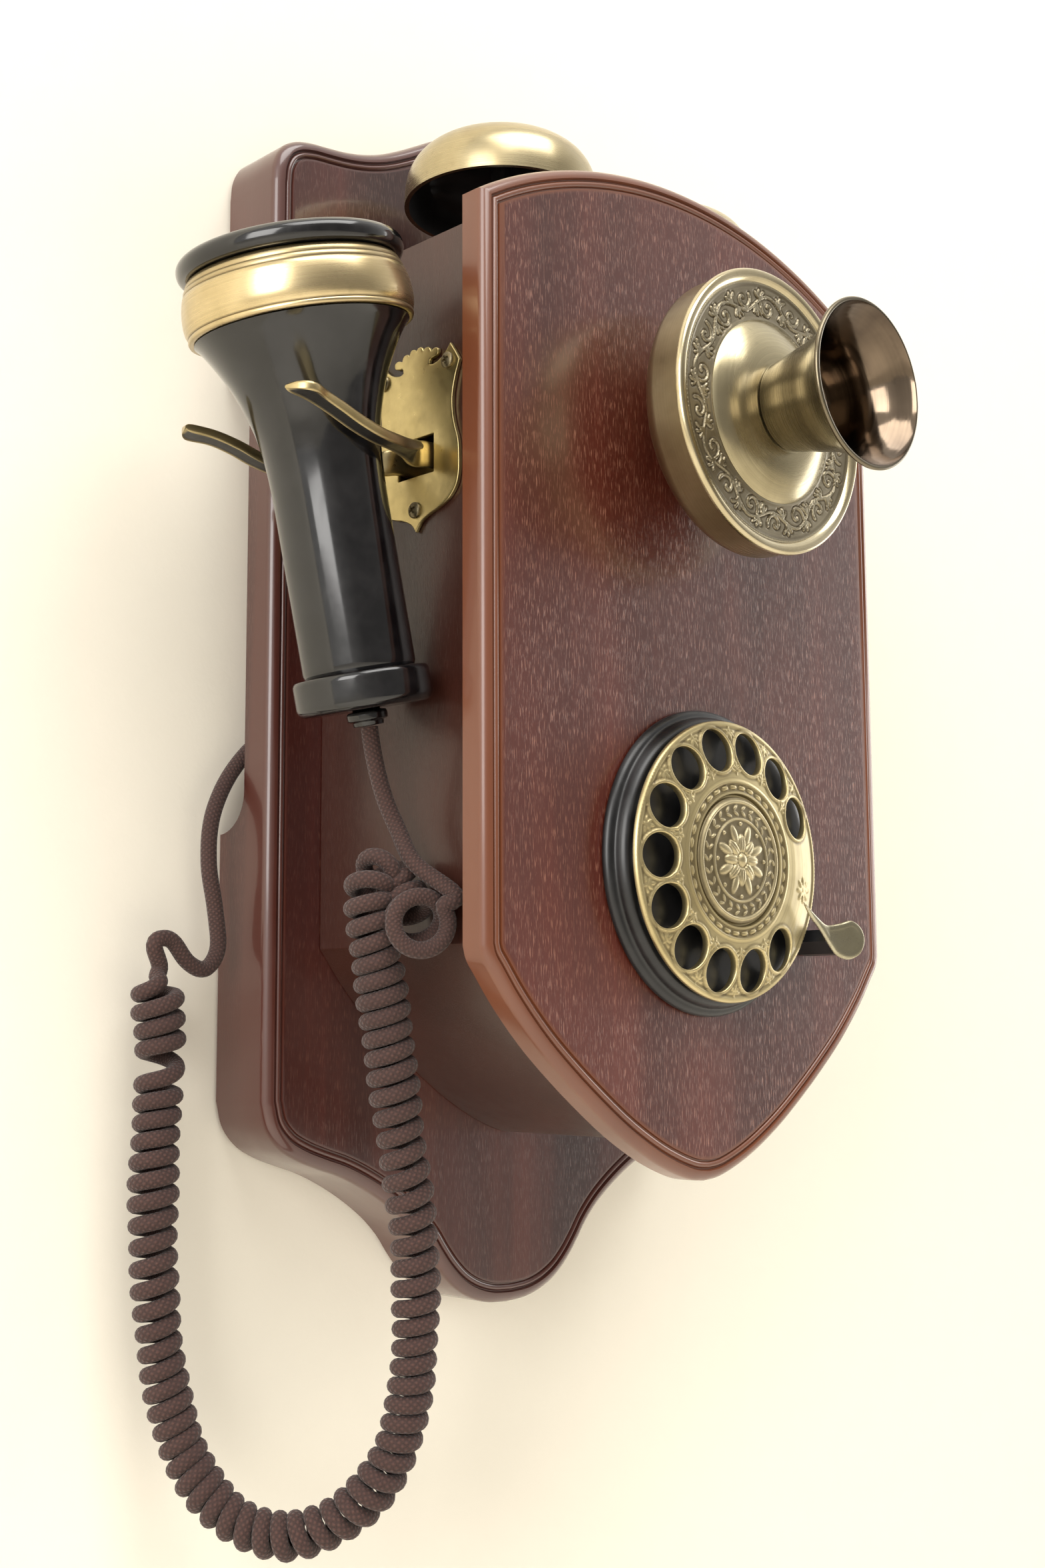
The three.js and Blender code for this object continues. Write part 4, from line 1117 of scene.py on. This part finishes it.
def plate_screw(k, y, z):
    """A domed screw head with a cross slot. Each is turned further than the last."""
    c, s = polar(1, 0.5 + 0.7 * k)

    def head(p, d):
        r = np.linalg.norm(p, axis=1)
        u, v = np.abs(p[:, 0] * c + p[:, 1] * s), np.abs(-p[:, 0] * s + p[:, 1] * c)
        cross = np.minimum(np.maximum(u - 1.3, v - 0.3), np.maximum(v - 1.3, u - 0.3))
        groove = 0.85 * (1 - smoothstep(cross, -0.1, 0.08))
        return 2.0 + (1 - (r / 2.6) ** 2) - rounded_edge(d, 0.3) - groove

    relief(f"plate_screw_{k}", circle(0, 0, 2.6, 48), [], polar_grid(0, 2.5, 0.13), head, 1.25,
        axis_minus_x(-86.3, y, z), "screw", "body", f"hook_screw_{k}", 0.3)


for k, (y, z) in enumerate(SCREWS, 1):
    plate_screw(k, y, z)

PRONG = [(-57, 5.3, 60), (-70, 5.3, 60), (-83, 5.3, 60), (-89, 5.3, 59.8), (-94, 5.9, 58.8),
    (-101, 9.4, 57.0), (-108, 14.6, 55.4), (-115, 18.2, 54.6), (-123, 20.2, 54.5), (-131, 21.2, 55.9),
    (-139, 21.8, 58.2), (-147.5, 22.8, 59.9), (-157.0, 24.2, 60.4)]
PRONG_RING = 28


def prong(sign):
    """One prong: a strap that stands on edge at the slot and turns flat to its curled tip, with PRONG as its
    inner side. Returns points, faces and each point's painted shade: black on the face that turns down."""
    line = spline(PRONG, 0.8)
    n = len(line)
    tang = directions(line)
    s = arc_length(line)
    total = s[-1]
    along = np.clip((s - 34) / (total - 34), 0, 1)
    lean = np.radians(92) * smoothstep(along, 0.0, 0.40)
    verts, downward_shade = [], []
    for i in range(n):
        t = tang[i]
        side = np.cross([0, 0, 1.0], t)
        side /= np.linalg.norm(side)
        side = side if side[1] > 0 else -side
        up = np.cross(t, side)
        up = up if up[2] > 0 else -up
        wide = math.cos(lean[i]) * up + math.sin(lean[i]) * side
        thin = math.cos(lean[i]) * side - math.sin(lean[i]) * up
        left = total - s[i]
        end = math.sqrt(max(0.0, 1 - max(0.0, 1 - left / 3.8) ** 2))
        half_w = 4.1 - 1.0 * smoothstep(along[i], 0, 0.5) + 0.8 * math.exp(-((left - 5) / 4.5) ** 2)
        half_t = 1.05 + 0.85 * smoothstep(along[i], 0, 0.35) - 0.25 * smoothstep(along[i], 0.6, 1)
        half_w *= max(end, 0.03)
        half_t *= max(end, 0.12) ** 0.7
        middle = line[i] + side * (math.sin(lean[i]) * half_w + math.cos(lean[i]) * half_t)
        for k in range(PRONG_RING):
            a = TAU * (k + 0.5) / PRONG_RING
            cx, cy = math.cos(a), math.sin(a)
            power = 0.4 if cy > 0 else 0.62
            x = math.copysign(abs(cx) ** 0.4, cx) * half_w
            y = math.copysign(abs(cy) ** power, cy) * half_t
            # under marks the face that turns downward as the strap lies flat: it is dipped a little and
            # painted black there as painted shade.
            under = smoothstep(lean[i], 0.25, 0.5) * (cy > 0.5)
            under *= 1 - smoothstep(abs(x), half_w * 0.72, half_w * 0.86)
            y -= 0.5 * under
            q = middle + wide * x + thin * y
            verts.append((q[0], HOOK_Y + sign * q[1], q[2]))
            downward_shade.append(under * smoothstep(left, 0.6, 1.6))
    return verts, skin(n, PRONG_RING), downward_shade


def box_verts(x0, x1, y0, y1, z0, z1):
    return [(x, y, z) for z in (z0, z1) for x, y in ((x0, y0), (x1, y0), (x1, y1), (x0, y1))]


BOX_FACES = [(0, 1, 2, 3), (4, 5, 6, 7), (0, 1, 5, 4), (1, 2, 6, 5), (2, 3, 7, 6), (3, 0, 4, 7)]
BLOCK = box_verts(-72, -56, -82.3, -67.7, 56, 64)
TAIL = box_verts(-57, -44, -78, -72, 58.2, 61.8)
# Painted shade per point (black on the prongs' downward faces) goes into the recess attribute.
verts, faces, downward_shade = [], [], []
for v, f, black in (prong(-1), prong(1), (BLOCK, BOX_FACES, [0.0] * 8), (TAIL, BOX_FACES, [0.0] * 8)):
    faces += [tuple(i + len(verts) for i in q) for q in f]
    verts += v
    downward_shade += black
make("hook_fork", verts, faces, "lever", "hook", "hook_lever", 50, None, {"recess": downward_shade})

# ---------------- receiver
rx = axis_receiver()
tube_out = spline([(17.1, 6.4), (17.1, 20), (17.1, 40), (17.1, 58), (17.35, 66), (17.9, 72.5), (18.9, 78.8),
    (20.4, 84.3), (22.9, 91.6), (25.8, 97.6), (29.3, 103.6), (31.6, 106.9), (32.4, 107.6)], 1.5)
tube_in = [(30.8, 107.6), (26.4, 100.6), (21.8, 92), (17.9, 83), (14.8, 64), (14.8, 7.4), (3, 7.4), (3, 5.2),
    (16.6, 5.2)]
lathe("receiver_handle", [*tube_out, *tube_in], rx, "black", "receiver", "receiver_tube", 128,
    sharp=40)
band_out = [(33.1, 107.9), (33.7, 108.1), (33.95, 108.7), (33.9, 109.4), (33.6, 109.7), (33.7, 109.95),
    (34.0, 110.3), (34.45, 111.6), (34.72, 113.6), (34.7, 116), (34.45, 118.6), (34.0, 121), (33.6, 122.4),
    (33.25, 122.6), (33.3, 122.9), (33.05, 124.2), (32.65, 124.4), (32.7, 124.7), (32.3, 126.0),
    (31.7, 126.9), (31.2, 127.2)]
BAND_FOOT, BAND_SQUEEZE = 107.9, 0.93
band_dark = {109.7: 0.9, 109.95: 0.6, 122.6: 0.9, 122.9: 0.5, 124.4: 0.9, 124.7: 0.4, 108.1: 0.3}
collar = [(r, BAND_FOOT + (h - BAND_FOOT) * BAND_SQUEEZE) for r, h in band_out]
lathe("receiver_collar", collar + [(30, 125.8), (30, BAND_FOOT)], rx, "band", "receiver",
    "receiver_band", 144, sharp=60,
    recess=lambda r, h: band_dark.get(round(BAND_FOOT + (h - BAND_FOOT) / BAND_SQUEEZE, 2), 0.0))
cap = spline([(28.6, 126.1), (31.6, 126.1), (33.4, 126.8), (34.15, 128.6), (33.9, 130.6), (32.4, 132.2),
    (30.2, 132.7), (27.6, 132.4)], 0.6)
dish = spline([(27.6, 132.4), (22, 131.7), (14, 130.9), (6, 130.6), (4, 130.5)], 1.5)
cap_profile = [*cap, *dish[1:], (4, 128.4), (14, 129), (28.6, 130.4)]
lathe("ear_rim", cap_profile, rx, "black", "receiver", "ear_cap", 144, sharp=60)
end_cap = fillet([(4.4, -6), (18.9, -6), (20.7, -4.2), (20.7, 3.7), (20.0, 4.9), (4.4, 4.9)], 1.1, 6, True)
lathe("receiver_foot", end_cap, rx, "black", "receiver", "receiver_end_cap", 128)
bush = fillet([(2.9, -11), (4.6, -11), (4.8, -9.6), (6.1, -9.2), (6.2, -7.4), (5.9, -6.6), (4.1, -6.3),
    (4.1, 3.6), (2.9, 3.6)], 0.35, 4, True)
lathe("cord_bush", bush, rx, "black", "receiver", "receiver_bush", 64)

# ---------------- cord
LEAD_TOP = [(-105.74, -75, -27.11), (-104, -75.2, -36), (-100.4, -75.8, -48), (-97.6, -79.0, -58),
    (-97.0, -85.4, -68)]
COIL = [(-99, -92, -86.5), (-96.6, -87, -86), (-95.6, -81.5, -82), (-96.4, -77.6, -74.6), (-99.8, -76, -69.4),
    (-104.6, -75.2, -74), (-105, -75, -84), (-101.6, -75, -100), (-97, -75, -125), (-92.6, -75, -150),
    (-87.8, -75, -175), (-86, -74.5, -198), (-87, -72.6, -226), (-91, -68, -245), (-98.6, -58, -259),
    (-110, -45, -265.5), (-120.4, -32, -261), (-128.4, -22, -247), (-134, -16.6, -225), (-138, -15, -195),
    (-139, -14.5, -165), (-138, -14.4, -140), (-137.4, -14.4, -122), (-139, -14.4, -108.5),
    (-140.6, -14.4, -101.5)]
LEAD_END = [(-140.2, -14, -90.6), (-134.6, -14, -89.4), (-127.6, -13.8, -96.6), (-121, -13.4, -98.8),
    (-116, -13, -93), (-116.6, -12.4, -80), (-119, -12, -66), (-117.8, -11, -52), (-112, -9, -40),
    (-104, -7.4, -30), (-96, -6.8, -23), (-90, -6.6, -20.4), (-85.3, -6.6, -20)]
PITCH = 5.85                       # from one turn to the next
HAND = 1                           # a right-handed helix
BRAID = 1.04                       # the drawn tube's width over the cord's own, for the sleeve's strands


def coil_turns():
    """The curly part: a helix round the coil's line, with one wide open turn first and one slack gap."""
    core = spline(COIL, 0.3)
    s = arc_length(core)
    u, w = side_vectors(directions(core))
    left = s[-1] - s
    r = 4.75 + 0.75 * (1 - smoothstep(s, 70, 190)) + 2.2 * (1 - smoothstep(s, 6, 14))
    r += 0.45 * smoothstep(s, 300, 360) + 0.7 * (1 - smoothstep(left, 20, 30))
    r *= (1 + 0.04 * np.sin(s * 0.21) + 0.03 * np.sin(s * 0.087 + 1)) * (0.25 + 0.75 * smoothstep(left, 0, 6))
    slack = 0.85 * (1 - smoothstep(left, 22, 33))
    turns = s / PITCH + 0.35 * np.sin(s / 41.0) + 0.18 * np.sin(s / 17.0 + 2) - slack
    phase = 0.8 * math.pi + HAND * TAU * (turns - turns[0])
    return core + u * (r * np.cos(phase))[:, None] + w * (r * np.sin(phase))[:, None]


def cord_route():
    """The cord's own centreline: the receiver's lead, the coil, and the lead to the board."""
    helix = coil_turns()
    into = helix[0] - helix[12]
    out = helix[-1] - helix[-12]
    first = LEAD_TOP + [tuple(helix[0] + 5 * into / np.linalg.norm(into)), tuple(helix[0])]
    last = [tuple(helix[-1]), tuple(helix[-1] + 3.5 * out / np.linalg.norm(out))] + LEAD_END
    return np.vstack([spline(first, 1.2)[:-1], helix, spline(last, 1.2)[1:]])


def tube_mesh(route, width, sides):
    """A tube along a dense route. Returns its centreline, points, faces, (along, around) at each face corner,
    and length."""
    q = np.array(route)
    seg = np.linalg.norm(np.diff(q, axis=0), axis=1)
    keep = np.concatenate([[True], seg > 1e-4])
    q = q[keep]
    s = arc_length(q)
    n = int(s[-1] / 1.15)
    at = np.linspace(0, s[-1], n)
    q = np.stack([np.interp(at, s, q[:, k]) for k in range(3)], 1)
    for _ in range(2):
        q[1:-1] = 0.25 * q[:-2] + 0.5 * q[1:-1] + 0.25 * q[2:]
    u, w = side_vectors(directions(q))
    verts = []
    for i in range(n):
        for k in range(sides):
            a = TAU * k / sides
            verts.append(q[i] + u[i] * (math.cos(a) * width / 2) + w[i] * (math.sin(a) * width / 2))
    corners = ((0, 0), (0, 1), (1, 1), (1, 0))
    uv = [(at[i + di], (k + dk) / sides) for i in range(n - 1) for k in range(sides) for di, dk in corners]
    uv += [(at[0], 0)] * sides + [(at[-1], 0)] * sides
    return q, verts, skin(n, sides), uv, float(np.linalg.norm(np.diff(q, axis=0), axis=1).sum())


centre, verts, faces, uv, cord_len = tube_mesh(cord_route(), CORD_D * BRAID, 14)
cord = make("curly_cord", verts, faces, "cord", None,
    "cord_coil cord_lead_receiver cord_lead_board", 60, None, None, uv)
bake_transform(cord)

# ---------------- CAD nodes that keep their shape
KEPT = {"case_top": "side", "cord_grommet": "black", "finger_stop_foot": "dial_black",
        "circuit_board": "green", "hook_contacts": "black", "ringer_coil_left": "copper",
        "ringer_coil_right": "copper", "clapper": "gold", "dial_gear": "gold"}
for name, ob in NODES.items():
    if ob.hide_render:
        continue
    mat = M[KEPT.get(name, "steel")]
    for sl in ob.material_slots:
        sl.link = "OBJECT"
        sl.material = mat


# ---------------- stage and light
def plane(name, corners, mat):
    me = bpy.data.meshes.new(name)
    me.from_pydata(corners, [], [(0, 1, 2, 3)])
    me.materials.append(mat)
    ob = add_object(name, me)
    return ob


WALL_TONE, FLOOR_TONE = rgb(244, 238, 223), rgb(238, 232, 220)
LEFT, RIGHT, TOP, LOW, OUT = -4, 7, 4, -1.0, -4
WALL_Y = 0.0008                    # just behind the board's back
wall = plane("backdrop", [(LEFT, WALL_Y, LOW), (RIGHT, WALL_Y, LOW), (RIGHT, WALL_Y, TOP),
    (LEFT, WALL_Y, TOP)], plaster("wall_plaster", WALL_TONE, True))
wall.visible_shadow = wall.visible_diffuse = False
plane("floor", [(RIGHT, OUT, LOW), (RIGHT, 3, LOW), (LEFT, 3, LOW), (LEFT, OUT, LOW)],
    plaster("floor_plaster", FLOOR_TONE))


def softbox(name, at, aim, size, power, tone):
    data = bpy.data.lights.new(name, "AREA")
    data.shape, data.size, data.size_y = "RECTANGLE", size[0], size[1]
    data.energy, data.color = power, tone
    ob = add_object(name, data)
    ob.location = at
    ob.rotation_mode = "QUATERNION"
    ob.rotation_quaternion = (Vector(aim) - Vector(at)).to_track_quat("-Z", "Y")


softbox("window_right", (2.3, -0.55, 0.35), (0, -0.1, 0), (0.7, 1.6), 13, (1.0, 0.99, 0.97))
softbox("ceiling_soft", (-0.2, -1.2, 1.9), (0, -0.05, 0.05), (2.0, 1.2), 40, (1.0, 0.98, 0.95))
softbox("left_soft", (-1.9, -0.9, 0.5), (0, -0.05, 0), (1.0, 1.5), 30, (1.0, 0.98, 0.95))


def room_light(dark, bright, dark_side):
    """Even light from all round, dimmer from the room's side."""
    world = bpy.data.worlds.new("room")
    world.use_nodes = True
    t = world.node_tree
    sky = next(n for n in t.nodes if n.type == "BACKGROUND")
    way = t.nodes.new("ShaderNodeTexCoord")
    dot = t.nodes.new("ShaderNodeVectorMath")
    dot.operation = "DOT_PRODUCT"
    dot.inputs[1].default_value = Vector(dark_side).normalized()
    t.links.new(way.outputs[0], dot.inputs[0])
    ramp = t.nodes.new("ShaderNodeMapRange")
    for key, value in zip((1, 2, 3, 4), (0.3, 0.85, 0.0, 1.0)):
        ramp.inputs[key].default_value = value
    t.links.new(dot.outputs[1], ramp.inputs[0])
    mix = t.nodes.new("ShaderNodeMix")
    mix.data_type = "RGBA"
    mix.inputs[6].default_value, mix.inputs[7].default_value = bright, dark
    t.links.new(ramp.outputs[0], mix.inputs[0])
    t.links.new(mix.outputs[2], sky.inputs[0])
    bpy.context.scene.world = world


room_light((0.33, 0.31, 0.29, 1), (1.12, 1.09, 1.03, 1), (0.15, -1.0, -0.1))
bpy.context.scene.view_settings.view_transform = "Standard"
